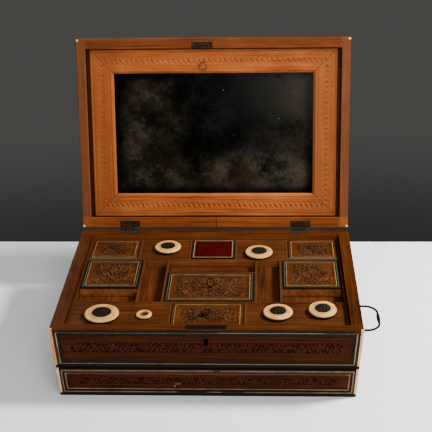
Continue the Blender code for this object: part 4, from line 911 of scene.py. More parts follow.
woodFinishes = {
    # key: name, tones, place, seed, dirt and painted shade, its reach, wear, shine, marks of its own
    "case": ("polishedCaseWood", "caseWood", caseSpot, 0.0, 0.7, 0.005, 0.35, 0.03, caseExtra),
    "lidShell": ("polishedLidWood", "rimWood", lidBoards, 2.3, 0.8, 0.007, 0.4, 0.05, lidExtra),
    "tray": ("trayWood", "trayWood", traySpot, 1.1, 0.6, 0.004, 0.30, 0.04, trayExtra),
    "trayAcross": ("trayWoodAcross", "trayWood", acrossSpot, 4.7, 0.6, 0.004, 0.30, 0.04, trayExtra),
    "cushionFrame": ("cushionFrameWood", "trayWood", place, 5.9, 0.6, 0.004, 0.3, 0.06, cushionExtra),
    "drawer": ("drawerWood", "caseWood", place, 3.9, 0.8, 0.006, 0.4, 0.03, drawerTopShade),
}
carvedFinishes = {
    # key: name, tones, seed, stain, its amount, marks of its own,
    # recess colour for dirt and painted shade, depth, unevenness, shine, painted highlight tone
    "upperPanel": (
        "carvedUpperPanel", "panelWood", 0.4, carvedStain, 0.35, None,
        darkRecess, 0.92, 0.6, 0.03, highlightStain,
    ),
    "drawerPanel": (
        "carvedDrawerPanel", "panelWood", 5.4, carvedStain, 0.35, drawerExtra,
        darkRecess, 0.92, 0.6, 0.03, highlightStain,
    ),
    "plainLid": (
        "carvedPlainLid", "lidWood", 6.1, (0.060, 0.0165, 0.0030), 0.4, lidInlay("plain"),
        grimeAndShadeColour, 0.97, 0.85, 0.04, (0.105, 0.034, 0.0085),
    ),
    "linedLid": (
        "carvedLinedLid", "lidWood", 7.2, (0.068, 0.0185, 0.0034), 0.4, lidInlay("lined"),
        grimeAndShadeColour, 0.97, 0.85, 0.04, (0.130, 0.043, 0.0115),
    ),
    "frame": (
        "carvedMirrorFrame", "frameWood", 8.3, (0.300, 0.076, 0.0105), 0.30, frameExtra,
        (0.085, 0.018, 0.0030), 0.90, 0.8, 0.04, (0.360, 0.100, 0.0150),
    ),
}
ivoryFinishes = {
    # key: name, pale, yellowed, where its dirt and painted shade come from, losses and stains
    "ivory": ("paleIvory", (0.57, 0.325, 0.112), (0.39, 0.185, 0.050), "cavity"),
    "cornerIvory": ("cornerIvory", (0.72, 0.50, 0.31), (0.52, 0.32, 0.17)),
    "cornerOrange": ("cornerOrange", (0.52, 0.265, 0.095), (0.36, 0.155, 0.045)),
    "string": ("greyString", (0.260, 0.220, 0.145), (0.110, 0.085, 0.045), None, stringEdges),
    "drawerString": ("drawerString", (0.200, 0.140, 0.075), (0.090, 0.053, 0.024), None, stringLosses),
}
metalFinishes = {
    # key: name, metal, patina, limits of the patina, roughness, metallic, shine
    "iron": ("darkIron", (0.0030, 0.0028, 0.0026), (0.010, 0.006, 0.004), (0.50, 0.75), 0.55, 0.0, 0.05),
    "brass": ("darkBrass", (0.036, 0.0195, 0.0085), (0.0090, 0.0062, 0.0036), (0.35, 0.60), 0.50, 0.2, 0.08),
    "ring": ("brownBrass", (0.085, 0.036, 0.0120), (0.030, 0.0120, 0.0045), (0.40, 0.65), 0.45, 0.2, 0.15),
}
materials = {
    "mosaic": mosaicMaterial(),
    "band": bandMaterial(),
    "velvet": velvetMaterial(),
    "mirror": mirrorMaterial(),
    "horn": hornMaterial(),
}
for maker, finishes in (
    (woodMaterial, woodFinishes), (carvedMaterial, carvedFinishes), (ivoryMaterial, ivoryFinishes),
    (metalMaterial, metalFinishes),
):
    for label, values in finishes.items():
        materials[label] = maker(*values)
print("materials made:", len(materials))

keptPieces = {
    # material: (edge rounding in metres, pieces)
    "case": (0.0006, ("carcase",)),
    "lidShell": (0.0007, ("lid_shell",)),
    "tray": (0.0004, ("tray", "deck_back_left", "deck_back_right", "deck_front_left", "deck_front_right",
                      "channel_centre")),
    "cushionFrame": (0.0004, ("pincushion_frame",)),
    "trayAcross": (0.0004, ("trough_left", "trough_right")),
    "drawer": (0.0005, ("drawer_box",)),
    "string": (0.0, ("upper_front_string",)),
    "drawerString": (0.0, ("drawer_outer_string", "drawer_inner_string")),
    "cornerOrange": (0.0003, ("upper_corner_strip_left",)),
    "cornerIvory": (0.0003, ("upper_corner_strip_right", "drawer_corner_strip_left",
                             "drawer_corner_strip_right")),
    "mosaic": (0.0, ("upper_front_mosaic",)),
    "band": (0.0, ("drawer_band",)),
    "iron": (0.0003, ("lock_plate", "handle_mount_left", "handle_mount_right")),
    "brass": (0.0003, ("strike_plate", "hinge_case_left", "hinge_case_right", "hinge_lid_left",
                       "hinge_lid_right")),
    "mirror": (0.0, ("mirror_glass",)),
}
edgeRounding = {"weld": 0.00001, "segments": 2, "angle": 40.0}
for label, (rounding, names) in keptPieces.items():
    for name in names:
        piece = nodes[name]
        for slot in piece.material_slots:
            slot.material = materials[label]
        if rounding:
            weld = piece.modifiers.new("Weld", "WELD")
            weld.merge_threshold = edgeRounding["weld"]
            bevel = piece.modifiers.new("Bevel", "BEVEL")
            bevel.width = rounding
            bevel.segments = edgeRounding["segments"]
            bevel.limit_method = "ANGLE"
            bevel.angle_limit = math.radians(edgeRounding["angle"])
            bevel.use_clamp_overlap = True
print("kept pieces finished")


# a mesh piece that rides on a body and stands for its CAD node
def newPiece(name, vertices, faces, material, body, replaced, sharp=50.0, values=None):
    mesh = bpy.data.meshes.new(name)
    mesh.from_pydata([tuple(corner) for corner in vertices], [], faces)
    mesh.validate()
    grid = bmesh.new()
    grid.from_mesh(mesh)
    bmesh.ops.recalc_face_normals(grid, faces=grid.faces)
    grid.to_mesh(mesh)
    grid.free()
    for label, kind, numbers in values or ():
        attribute = mesh.attributes.new(label, kind, "POINT")
        field = "vector" if kind == "FLOAT_VECTOR" else "value"
        attribute.data.foreach_set(field, np.ravel(numbers).astype(np.float32))
    mesh.polygons.foreach_set("use_smooth", [True] * len(mesh.polygons))
    mesh.set_sharp_from_angle(angle=math.radians(sharp))
    mesh.materials.append(materials[material])
    piece = bpy.data.objects.new(name, mesh)
    scene.collection.objects.link(piece)
    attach(piece, body)
    if replaced:
        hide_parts(*replaced)
    return piece


def line(low, high, step):
    return np.linspace(low, high, max(2, round((high - low) / step) + 1))


# rising values from several stretches, without repeats
def joined(*pieces):
    values = np.sort(np.concatenate(pieces))
    keep = np.concatenate(([True], np.diff(values) > 1e-6))
    return values[keep]


# corners moved by a matrix
def moved(points, toWorld):
    matrix = np.array(toWorld)
    return np.array(points) @ matrix[:3, :3].T + matrix[:3, 3]


# a closed plate whose face is a height field; halfAt(v) over halfAt(0) stretches the columns,
# and grainShift gives each piece its own stretch of grain
def carvedPlate(name, us, vs, halfAt, backs, carve, toWorld, material, body, grainShift=0.0):
    stretch = np.array([halfAt(v) / halfAt(0.0) for v in vs])
    u = us[None, :] * stretch[:, None]
    v = np.repeat(vs[:, None], len(us), axis=1)
    height, cavity, carved, edge = carve(u, v)
    rows, columns = u.shape
    corners = [np.stack((u, v, height), axis=-1).reshape(-1, 3)]
    for backV, depth in backs:
        across = us * (halfAt(backV) / halfAt(0.0))
        corners.append(np.stack((across, np.full(columns, backV), np.full(columns, -depth)), axis=-1))
    local = np.concatenate(corners)
    spare = np.zeros(len(local) - rows * columns)
    index = np.arange(rows * columns).reshape(rows, columns)
    cells = (index[:-1, :-1], index[:-1, 1:], index[1:, 1:], index[1:, :-1])
    faces = np.stack(cells, axis=-1).reshape(-1, 4).tolist()
    behind = [(rows + row) * columns + np.arange(columns) for row in range(len(backs))]
    rings = [index[0]] + behind + [index[-1]]
    for low, high in zip(rings[:-1], rings[1:]):
        faces += np.stack((low[:-1], high[:-1], high[1:], low[1:]), axis=-1).tolist()
    for side in (0, -1):
        around = list(index[:, side]) + [ring[side] for ring in reversed(behind)]
        faces.append([int(corner) for corner in around])
    values = [("grainPlace", "FLOAT_VECTOR", local + grainShift)]
    for label, field in (("cavity", cavity), ("carved", carved), ("edge", edge)):
        values.append((label, "FLOAT", np.concatenate((np.ravel(field), spare))))
    world = moved(local, toWorld)
    return newPiece(name + "_carved", world, faces, material, body, (name,), 55.0, values)


# a round swelling that is 1 at 0 and 0 from 1 on
def dome(share):
    return np.sqrt(np.clip(1.0 - share ** 2, 0.0, 1.0))


# a soft ridge of a given width
def ridge(off, width):
    return np.exp(-((off / width) ** 2))


# carve one leaf with a middle rib, side veins and a toothed edge
def stampLeaf(cover, u, v, rootU, rootV, angle, length, width, curl=0.25, teeth=4):
    near = (np.abs(u - rootU) < 1.2 * length) & (np.abs(v - rootV) < 1.2 * length)
    du = u[near] - rootU
    dv = v[near] - rootV
    along = (du * math.cos(angle) + dv * math.sin(angle)) / length
    off = (dv * math.cos(angle) - du * math.sin(angle)) / width - curl * along * along
    inside = (along > 0.0) & (along < 1.0)
    reach = np.where(inside, np.clip(along, 1e-4, 1.0), 0.5)
    half = np.sin(math.pi * reach ** 0.72) ** 0.8 * (1.0 - 0.22 * np.abs(np.sin(math.pi * teeth * reach)))
    share = np.abs(off) / np.maximum(half, 1e-3)
    body = dome(share)
    rib = 0.45 * ridge(off, 0.16)
    veins = 0.16 * (0.5 + 0.5 * np.cos(2.0 * math.pi * (teeth * reach - 1.2 * np.abs(off))))
    height = np.where(inside & (share < 1.0), 0.30 + 0.70 * body - rib - veins * body, 0.0)
    cover[near] = np.maximum(cover[near], height)


# carve an open flower: rounded petals with a groove down each, and a boss
def stampFlower(cover, u, v, middleU, middleV, radius, petals=6, turn=0.0):
    near = (np.abs(u - middleU) < 1.1 * radius) & (np.abs(v - middleV) < 1.1 * radius)
    du = u[near] - middleU
    dv = v[near] - middleV
    reach = np.hypot(du, dv) / radius
    phase = np.mod((np.arctan2(dv, du) + turn) * petals / (2.0 * math.pi), 1.0) - 0.5
    edge = 1.0 - 0.9 * np.abs(phase) ** 1.6
    swelling = np.sin(math.pi * np.clip(reach / edge, 0.0, 1.0) ** 0.8)
    petal = np.where(reach < edge, 0.45 + 0.55 * swelling, 0.0)
    petal -= 0.35 * ridge(np.abs(phase) - 0.5, 0.07) * (reach > 0.25)
    petal -= 0.20 * ridge(phase, 0.06) * (reach > 0.3)
    boss = np.where(reach < 0.26, 0.75 + 0.45 * dome(reach / 0.26), 0.0)
    petal = np.where((reach > 0.26) & (reach < 0.33), 0.25, petal)
    cover[near] = np.maximum(cover[near], np.maximum(petal, boss))


# carve a round stem along a curve
def stampStem(cover, u, v, middleAt, slopeAt, width):
    off = np.abs(v - middleAt(u)) * np.cos(np.arctan(slopeAt(u)))
    cover[:] = np.maximum(cover, np.where(off < width, 0.55 + 0.35 * dome(off / width), 0.0))


# deep, uneven holes drilled between the leaves
def punchHoles(cover, u, v, halfU, halfV, spacing, radii, rng):
    for row in range(int(2.0 * halfV / spacing) + 1):
        for column in range(int(2.0 * halfU / (1.15 * spacing)) + 1):
            x = -halfU + (column + 0.5 * (row % 2)) * 1.15 * spacing + rng.uniform(-0.28, 0.28) * spacing
            y = -halfV + (row + 0.35) * spacing + rng.uniform(-0.25, 0.25) * spacing
            radius = rng.uniform(*radii)
            angle = rng.uniform(0.0, math.pi)
            near = (np.abs(u - x) < 2.2 * radius) & (np.abs(v - y) < 2.2 * radius)
            du = u[near] - x
            dv = v[near] - y
            along = (du * math.cos(angle) + dv * math.sin(angle)) / 1.5
            across = dv * math.cos(angle) - du * math.sin(angle)
            share = np.hypot(along, across) / radius
            cover[near] *= np.clip((share - 0.75) / 0.45, 0.0, 1.0)


# heights, and dirt with painted shade in the low parts, from a cover of 0 to 1, with a punched ground
def relief(cover, ground, low, high, depthNoise):
    shape = np.clip(cover, 0.0, 1.1)
    height = low + (high - low) * shape
    height -= np.where(shape < 0.05, depthNoise, 0.0) * 0.12 * mm
    return np.where(ground, height, 0.0), np.where(ground, np.clip(1.0 - 1.15 * shape, 0.0, 1.0), 0.0)


frontPanels = {
    "upper_front_panel": {
        "body": "case", "material": "upperPanel", "friezeHalf": 7.5 * mm, "friezeEnd": 157.1 * mm,
        "pitch": 40.0 * mm, "grid": 0.42 * mm, "lift": 1.2 * mm, "inset": 11.7 * mm,
        "low": -0.75 * mm, "high": 0.55 * mm, "seed": 11,
    },
    "drawer_front_panel": {
        "body": "drawer", "material": "drawerPanel", "friezeHalf": 5.75 * mm, "friezeEnd": 155.3 * mm,
        "pitch": 32.0 * mm, "grid": 0.42 * mm, "lift": 0.8 * mm, "inset": 10.9 * mm,
        "low": -0.70 * mm, "high": 0.50 * mm, "seed": 23,
    },
}
caseHeight = 0.091
footHalf = 0.174
rimHalf = 0.180
panelDepth = 2.0 * mm
panelStep = 1.8 * mm        # grid step beyond the frieze


# a waving stem with a flower in each bend and toothed leaves filling the ground
def scrollFrieze(u, v, settings):
    rng = np.random.default_rng(settings["seed"])
    half = settings["friezeHalf"]
    end = settings["friezeEnd"]
    pitch = settings["pitch"]
    swing = 0.45 * half
    cover = np.zeros_like(u)
    turn = 2.0 * math.pi / pitch

    def middleAt(x):
        return swing * np.sin(turn * x)

    def slopeAt(x):
        return swing * turn * np.cos(turn * x)

    count = int(2.0 * end / (0.105 * pitch))
    for index in range(count):
        x = -end + (index + 0.5) * 2.0 * end / count
        y = float(middleAt(x))
        lean = math.atan(float(slopeAt(x)))
        for side in (-1.0, 1.0):
            room = half - side * y
            if room < 0.35 * half:
                continue
            angle = lean + side * math.radians(rng.uniform(38.0, 68.0))
            length = min(0.95 * room, 0.80 * half) * rng.uniform(0.85, 1.05)
            stampLeaf(cover, u, v, x, y, angle, length, 0.24 * half, side * rng.uniform(0.1, 0.6), 3)
            tipX = x + rng.uniform(0.2, 0.9) * 0.1 * pitch
            tipY = side * half * rng.uniform(0.80, 0.98)
            angle = -side * math.radians(rng.uniform(40.0, 130.0))
            stampLeaf(cover, u, v, tipX, tipY, angle, 0.42 * half, 0.16 * half, side * 0.3, 3)
    stampStem(cover, u, v, middleAt, slopeAt, 0.075 * half)
    bends = int(2.0 * end / pitch) + 1
    for bend in range(-bends, bends + 1):
        x = (bend + 0.5) * pitch / 2.0
        if abs(x) > end - 0.3 * half:
            continue
        y = swing * (-0.55 if bend % 2 == 0 else 0.55)
        stampFlower(cover, u, v, x, y, 0.50 * half, 6 if bend % 3 else 8, rng.uniform(0.0, 1.0))
    punchHoles(cover, u, v, end, half, 4.6 * mm, (0.6 * mm, 1.25 * mm), rng)
    return cover


# a carved front whose sides lean in with the case
def frontPanel(name, settings):
    low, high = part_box(name)
    middleZ = (low.z + high.z) / 2.0
    halfZ = (high.z - low.z) / 2.0
    rng = np.random.default_rng(settings["seed"] + 100)
    step = settings["grid"]
    end = settings["friezeEnd"]
    friezeHalf = settings["friezeHalf"]

    def halfAt(v):
        return footHalf + (rimHalf - footHalf) * (middleZ + v) / caseHeight - settings["inset"]

    def carve(u, v):
        raised = v - settings["lift"]
        cover = scrollFrieze(u, raised, settings)
        inside = np.minimum(friezeHalf - np.abs(raised), end - np.abs(u))
        ground = inside > 0.0
        height, cavity = relief(cover, ground, settings["low"], settings["high"], rng.random(u.shape))
        height = np.where(height < 0.0, height * np.clip(inside / (1.6 * mm), 0.0, 1.0), height)
        cavity = cavity * np.clip(inside / (1.1 * mm), 0.0, 1.0)
        return height, cavity, ground.astype(float), 0.0 * u

    margin = 0.6 * mm
    reach = halfAt(0.0)
    half = friezeHalf + settings["lift"] + 0.5 * margin
    us = joined(np.array([-reach, reach]), line(-end - margin, end + margin, step))
    vs = joined(line(-halfZ, -half, panelStep), line(-half, half, step), line(half, halfZ, panelStep))
    backs = ((-halfZ, panelDepth), (halfZ, panelDepth))
    toWorld = Matrix.Translation((0.0, frontY, middleZ)) @ Matrix.Rotation(math.pi / 2.0, 4, "X")
    return carvedPlate(name, us, vs, halfAt, backs, carve, toWorld, settings["material"], settings["body"],
                       settings["seed"] * 0.01)


fronts = {name: frontPanel(name, settings) for name, settings in frontPanels.items()}
print("carved fronts made")

keyhole = {"top": 80.0 * mm, "foot": 69.5 * mm, "topHalf": 3.0 * mm, "footHalf": 1.7 * mm, "arcSteps": 12}


# cut the tapered keyhole, round above, through the carved front
def cutKeyhole(target):
    middle = keyhole["top"] - keyhole["topHalf"]
    outline = [(-keyhole["footHalf"], keyhole["foot"]), (keyhole["footHalf"], keyhole["foot"])]
    for index in range(keyhole["arcSteps"] + 1):
        angle = math.pi * index / keyhole["arcSteps"]
        outline.append((keyhole["topHalf"] * math.cos(angle), middle + keyhole["topHalf"] * math.sin(angle)))
    grid = bmesh.new()
    front = [grid.verts.new((x, frontY - 4.0 * mm, z)) for x, z in outline]
    face = grid.faces.new(front)
    made = bmesh.ops.extrude_face_region(grid, geom=[face])["geom"]
    for item in made:
        if isinstance(item, bmesh.types.BMVert):
            item.co.y = frontY + 6.0 * mm
    bmesh.ops.recalc_face_normals(grid, faces=grid.faces)
    mesh = bpy.data.meshes.new("keyholeCutter")
    grid.to_mesh(mesh)
    grid.free()
    cutterPiece = bpy.data.objects.new("keyholeCutter", mesh)
    scene.collection.objects.link(cutterPiece)
    step = target.modifiers.new("Keyhole", "BOOLEAN")
    step.operation = "DIFFERENCE"
    step.object = cutterPiece
    bpy.context.view_layer.update()
    cutMesh = bpy.data.meshes.new_from_object(target.evaluated_get(bpy.context.evaluated_depsgraph_get()))
    target.modifiers.clear()
    target.data = cutMesh
    bpy.data.objects.remove(cutterPiece, do_unlink=True)


cutKeyhole(fronts["upper_front_panel"])
print("keyhole cut")

compartmentLids = {
    # inlaid lines, random seed, size and shift of the flower, darkness of the ground round it
    "lid_back_left": {"inlay": "plainLid", "seed": 31, "flower": 0.26, "shift": 6.0 * mm, "dusk": 0.75},
    "lid_back_right": {"inlay": "plainLid", "seed": 32, "flower": 0.26, "shift": 6.0 * mm, "dusk": 0.65},
    "lid_side_left": {"inlay": "linedLid", "seed": 33, "flower": 0.24, "shift": 9.0 * mm, "dusk": 0.25},
    "lid_side_right": {"inlay": "linedLid", "seed": 34, "flower": 0.24, "shift": 9.0 * mm, "dusk": 0.55},
    "lid_centre": {"inlay": "linedLid", "seed": 35, "flower": 0.30, "shift": 2.0 * mm, "dusk": 0.30},
    "lid_front": {"inlay": "plainLid", "seed": 36, "flower": 0.36, "shift": 0.0, "dusk": 0.60},
}
lidWork = {
    # width of the border and margin round the carving, drop of the field, height of the face above the table,
    # and depth and rise of the carving
    "border": 7.0 * mm, "margin": 4.5 * mm, "drop": 0.45 * mm, "face": 84.5 * mm,
    "low": -1.15 * mm, "high": 0.35 * mm, "grid": 0.42 * mm,
    "borderRows": (0.0, 0.3, 0.6, 1.9, 2.9, 3.8, 4.7, 5.6, 6.5, 7.0, 7.3, 7.6, 9.5),
}


# a flower with leaves curling out from it to the corners
def bouquetCover(u, v, halfU, halfV, settings):
    rng = np.random.default_rng(settings["seed"])
    cover = np.zeros_like(u)
    middleV = settings["shift"]
    radius = settings["flower"] * 2.0 * min(halfU, halfV) * 0.62
    spacing = 3.0 * mm
    for row in range(int(2.0 * halfV / spacing) + 1):
        for column in range(int(2.0 * halfU / spacing) + 1):
            x = -halfU + (column + 0.5 * (row % 2)) * spacing + rng.uniform(-0.5, 0.5) * mm
            y = -halfV + row * spacing + rng.uniform(-0.5, 0.5) * mm
            away = math.atan2(y - middleV, x)
            far = math.hypot(x, y - middleV)
            if far < 0.75 * radius:
                continue
            swirl = away + 0.9 * math.sin(far / (3.4 * mm)) + (0.5 if x > 0 else -0.5)
            length, width = rng.uniform(3.2, 4.6) * mm, rng.uniform(1.1, 1.5) * mm
            stampLeaf(cover, u, v, x, y, swirl, length, width, rng.uniform(-0.6, 0.6), 2)
    small = 0.15 * min(halfU, halfV)
    for side in (-1.0, 1.0):
        for up in (-1.0, 1.0):
            stampFlower(cover, u, v, side * 0.70 * halfU, up * 0.55 * halfV, small, 5, rng.uniform(0.0, 1.0))
    stampFlower(cover, u, v, 0.0, middleV, radius, 8, 0.2)
    stampFlower(cover, u, v, 0.0, middleV, 0.55 * radius, 8, 0.6)
    punchHoles(cover, u, v, halfU, halfV, 4.9 * mm, (0.75 * mm, 1.30 * mm), rng)
    return cover


def carvedLid(name, settings):
    low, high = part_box(name)
    halfX = (high.x - low.x) / 2.0
    halfY = (high.y - low.y) / 2.0
    inset = lidWork["border"] + lidWork["margin"]
    fieldX = halfX - inset
    fieldY = halfY - inset
    thickness = lidWork["face"] - low.z
    rng = np.random.default_rng(settings["seed"] + 50)

    def carve(u, v):
        edge = np.minimum(halfX - np.abs(u), halfY - np.abs(v))
        inside = np.minimum(fieldX - np.abs(u), fieldY - np.abs(v))
        ground = inside > 0.0
        cover = bouquetCover(u, v, fieldX, fieldY, settings)
        height, cavity = relief(cover, ground, lidWork["low"], lidWork["high"], rng.random(u.shape))
        sunk = np.clip((edge - lidWork["border"]) / (0.6 * mm), 0.0, 1.0) * lidWork["drop"]
        bevel = np.clip(inside / (0.5 * mm), 0.0, 1.0)
        height = np.where(ground, -sunk + (height + lidWork["drop"] * 0.6) * bevel, -sunk)
        # the edge itself is rubbed round
        height -= 0.25 * mm * np.clip(1.0 - edge / (0.5 * mm), 0.0, 1.0) ** 2
        # dirt and painted shade along the foot of the field's edge
        cavity = np.maximum(cavity, 0.35 * ridge(inside + 0.1 * mm, 0.28 * mm))
        dusk = ridge(np.hypot(u / 1.5, v - settings["shift"]), 5.0 * mm)
        cavity = np.clip(cavity + settings["dusk"] * dusk * ground, 0.0, 1.2)
        return height, cavity, ground.astype(float), edge

    border = np.array(lidWork["borderRows"]) * mm
    past = 0.4 * mm
    us = joined(-halfX + border, line(-fieldX - past, fieldX + past, lidWork["grid"]), halfX - border)
    vs = joined(-halfY + border, line(-fieldY - past, fieldY + past, lidWork["grid"]), halfY - border)
    middle = (low + high) / 2.0
    toWorld = Matrix.Translation((middle.x, middle.y, lidWork["face"]))
    backs = ((-halfY, thickness), (halfY, thickness))
    carvedPlate(name, us, vs, lambda v: halfX, backs, carve, toWorld, settings["inlay"], "case",
                settings["seed"] * 0.013)


for name, settings in compartmentLids.items():
    carvedLid(name, settings)
print("compartment lids carved")

mirrorFrame = {
    "halfX": 162.8 * mm, "outerTop": -241.4 * mm, "outerBottom": -17.5 * mm, "face": 3.05 * mm,
    "width": 31.0 * mm, "thickness": 7.5 * mm, "rebate": 4.0 * mm, "rebateDepth": 3.2 * mm,
    "mitreGap": 0.2 * mm, "grid": 0.55 * mm,
    # carved strokes: middle and half width of their band, spacing, depth and slant
    "bandMiddle": 15.0 * mm, "bandHalf": 3.75 * mm, "pitch": 6.9 * mm, "relief": 0.70 * mm, "slant": 0.30,
    # rows of pits beside the band, and grooves at these distances from the outer edge
    "pitRow": 6.2 * mm, "dotPitch": 3.4 * mm, "pitRadius": 0.62 * mm,
    "grooves": (3.2 * mm, 10.4 * mm, 19.6 * mm, 25.6 * mm),
    "slopeStart": 27.4 * mm, "slopeDepth": 1.5 * mm,
}


# strokes, pits, grooves, sloping inner edge and mitres of one member of the frame
def frameCarve(half, seed):
    rng = np.random.default_rng(seed)

    def carve(u, v):
        t = -v      # distance in from the outer edge
        off = (t - mirrorFrame["bandMiddle"]) / mirrorFrame["bandHalf"]
        inBand = np.abs(off) < 1.0
        bow = 0.34 * np.cos(0.5 * math.pi * np.clip(off, -1.0, 1.0))
        turned = u / mirrorFrame["pitch"] + bow - mirrorFrame["slant"] * off
        phase = np.mod(turned, 1.0) - 0.5
        cutDepth = 0.75 + 0.25 * np.sin(2.3 * np.floor(turned) + seed) * np.sin(0.37 * np.floor(turned))
        swell = dome(off) * cutDepth
        # a thin cut with a hollow beside it that catches the light
        stroke = ridge(phase, 0.12) * swell
        scoop = ridge(phase - 0.22, 0.16) * swell
        height = -mirrorFrame["relief"] * (0.85 * stroke + 0.35 * scoop)
        # dirt and painted shade in the cuts, pits and grooves; the mitre seams are dark joints
        cavity = np.where(inBand, np.clip(1.25 * stroke, 0.0, 1.0), 0.0)
        along = (np.mod(u / mirrorFrame["dotPitch"] + 0.5, 1.0) - 0.5) * mirrorFrame["dotPitch"]
        for offset in (-mirrorFrame["pitRow"], mirrorFrame["pitRow"]):
            row = t - mirrorFrame["bandMiddle"] - offset
            pit = ridge(np.hypot(row, along * 1.1), mirrorFrame["pitRadius"])
            height -= 0.30 * mm * pit
            cavity = np.maximum(cavity, 0.70 * pit)
        for groove in mirrorFrame["grooves"]:
            cut = ridge(t - groove, 0.30 * mm)
            height -= 0.22 * mm * cut
            cavity = np.maximum(cavity, 0.45 * cut)
        slopeWidth = mirrorFrame["width"] - mirrorFrame["slopeStart"]
        inner = np.clip((t - mirrorFrame["slopeStart"]) / slopeWidth, 0.0, 1.0)
        height -= mirrorFrame["slopeDepth"] * inner ** 1.6
        outer = np.clip(1.0 - t / (0.9 * mm), 0.0, 1.0)
        height -= 0.45 * mm * outer ** 2
        seam = ridge(np.abs(u) - (half - t), 0.35 * mm)
        cavity = np.maximum(cavity, 0.95 * seam)
        height -= 0.15 * mm * seam
        height += (rng.random(u.shape) - 0.5) * 0.03 * mm
        return height, np.clip(cavity, 0.0, 1.0), scoop, t

    return carve


frameMiddle = (mirrorFrame["outerTop"] + mirrorFrame["outerBottom"]) / 2.0
frameLong = mirrorFrame["halfX"]
frameShort = (mirrorFrame["outerBottom"] - mirrorFrame["outerTop"]) / 2.0
members = (
    ("frame_top", frameLong, 0.0, (0.0, mirrorFrame["outerTop"]), 41),
    ("frame_bottom", frameLong, math.pi, (0.0, mirrorFrame["outerBottom"]), 42),
    ("frame_left", frameShort, -math.pi / 2.0, (-frameLong, frameMiddle), 43),
    ("frame_right", frameShort, math.pi / 2.0, (frameLong, frameMiddle), 44),
)
frameRows = joined(
    np.array([0.0, 0.4, 0.9, 1.8, 2.7, 3.2, 3.7, 5.2, 6.8]), line(7.6, 22.4, 0.5),
    np.array([24.0, 25.2, 25.6, 26.0, 27.4, 28.3, 29.2, 30.1, 31.0]),
) * mm
frameBacks = (
    (-mirrorFrame["width"], mirrorFrame["rebateDepth"]),
    (-mirrorFrame["width"] + mirrorFrame["rebate"], mirrorFrame["rebateDepth"]),
    (-mirrorFrame["width"] + mirrorFrame["rebate"] + 0.01 * mm, mirrorFrame["thickness"]),
    (0.0, mirrorFrame["thickness"]),
)
for name, half, turn, centre, seed in members:
    length = half - mirrorFrame["mitreGap"]
    us = line(-length, length, mirrorFrame["grid"])
    # same turn as the CAD member: face towards the glass's front, outer edge at v = 0
    local = Matrix.Translation((*centre, mirrorFrame["face"])) @ Matrix.Rotation(turn, 4, "Z")
    toWorld = lidFrame @ local @ Matrix.Rotation(math.pi, 4, "X")
    carvedPlate(name, us, -frameRows[::-1], lambda v, length=length: length + v, frameBacks,
                frameCarve(length, seed), toWorld, "frame", "lid", seed * 0.017)
print("looking-glass frame carved")


# turn a profile of (radius, height) about Z; heightAt adds carving and cavityAt gives the dirt and painted
# shade
def turnedPiece(name, profile, steps, toWorld, material, body="case", replaced=(), closed=False,
                cavityAt=None, heightAt=None):
    points = []
    dirtAndShade = []
    rings = []
    for radius, height in profile:
        count = steps if radius > 1e-7 else 1
        rings.append([len(points) + index for index in range(count)])
        for index in range(count):
            angle = 2.0 * math.pi * index / steps
            lift = heightAt(radius, angle, height) if heightAt and count > 1 else 0.0
            points.append((radius * math.cos(angle), radius * math.sin(angle), height + lift))
            dirtAndShade.append(cavityAt(radius, height, angle) if cavityAt else 0.0)
    faces = []
    pairs = list(zip(rings[:-1], rings[1:])) + ([(rings[-1], rings[0])] if closed else [])
    for first, second in pairs:
        for index in range(steps):
            after = (index + 1) % steps
            if len(first) == 1:
                faces.append((first[0], second[index], second[after]))
            elif len(second) == 1:
                faces.append((first[index], second[0], first[after]))
            else:
                faces.append((first[index], second[index], second[after], first[after]))
    return newPiece(name, moved(points, toWorld), faces, material, body, replaced, 40.0,
                    [("cavity", "FLOAT", dirtAndShade)])


turnedCaps = {
    # name: place and radius in mm, tilt in degrees, number of turned grooves
    "back_left": ((-60.194, 84.013), 17.2, 0.0, 1),
    "back_right": ((60.194, 70.074), 17.8, 0.0, 1),
    "front_left": ((-124.945, -85.527), 20.5, 0.0, 2),
    "front_mid": ((83.061, -80.685), 17.4, 0.0, 1),
    "front_right": ((135.705, -75.788), 16.5, 4.0, 1),
}
capSizes = {
    "height": 5.6 * mm, "rim": 0.84, "foot": 0.74, "steps": 26,
    "spigotRadius": 9.5 * mm, "spigotLength": 12.0 * mm, "underside": 0.3 * mm,
    "rosette": 0.55, "rosetteSunk": 1.2 * mm, "rosetteThickness": 2.0 * mm,
}


# radius of the rosette's seat and of the rim's start, and the width of each groove between them
def capRings(radius, grooves):
    seat = radius * capSizes["rosette"] + 0.3 * mm
    outer = capSizes["rim"] * radius
    return seat, outer, (outer - seat - 1.0 * mm) / (grooves + 0.5)


# how deep a turned groove is at a radius, from 0 to 1
def grooveAt(at, seat, grooveWidth, grooves, width):
    phase = (at - seat - 0.6 * mm) / grooveWidth
    return math.exp(-(((phase % 1.0) - 0.5) / width) ** 2) if 0.0 < phase < grooves + 0.2 else 0.0


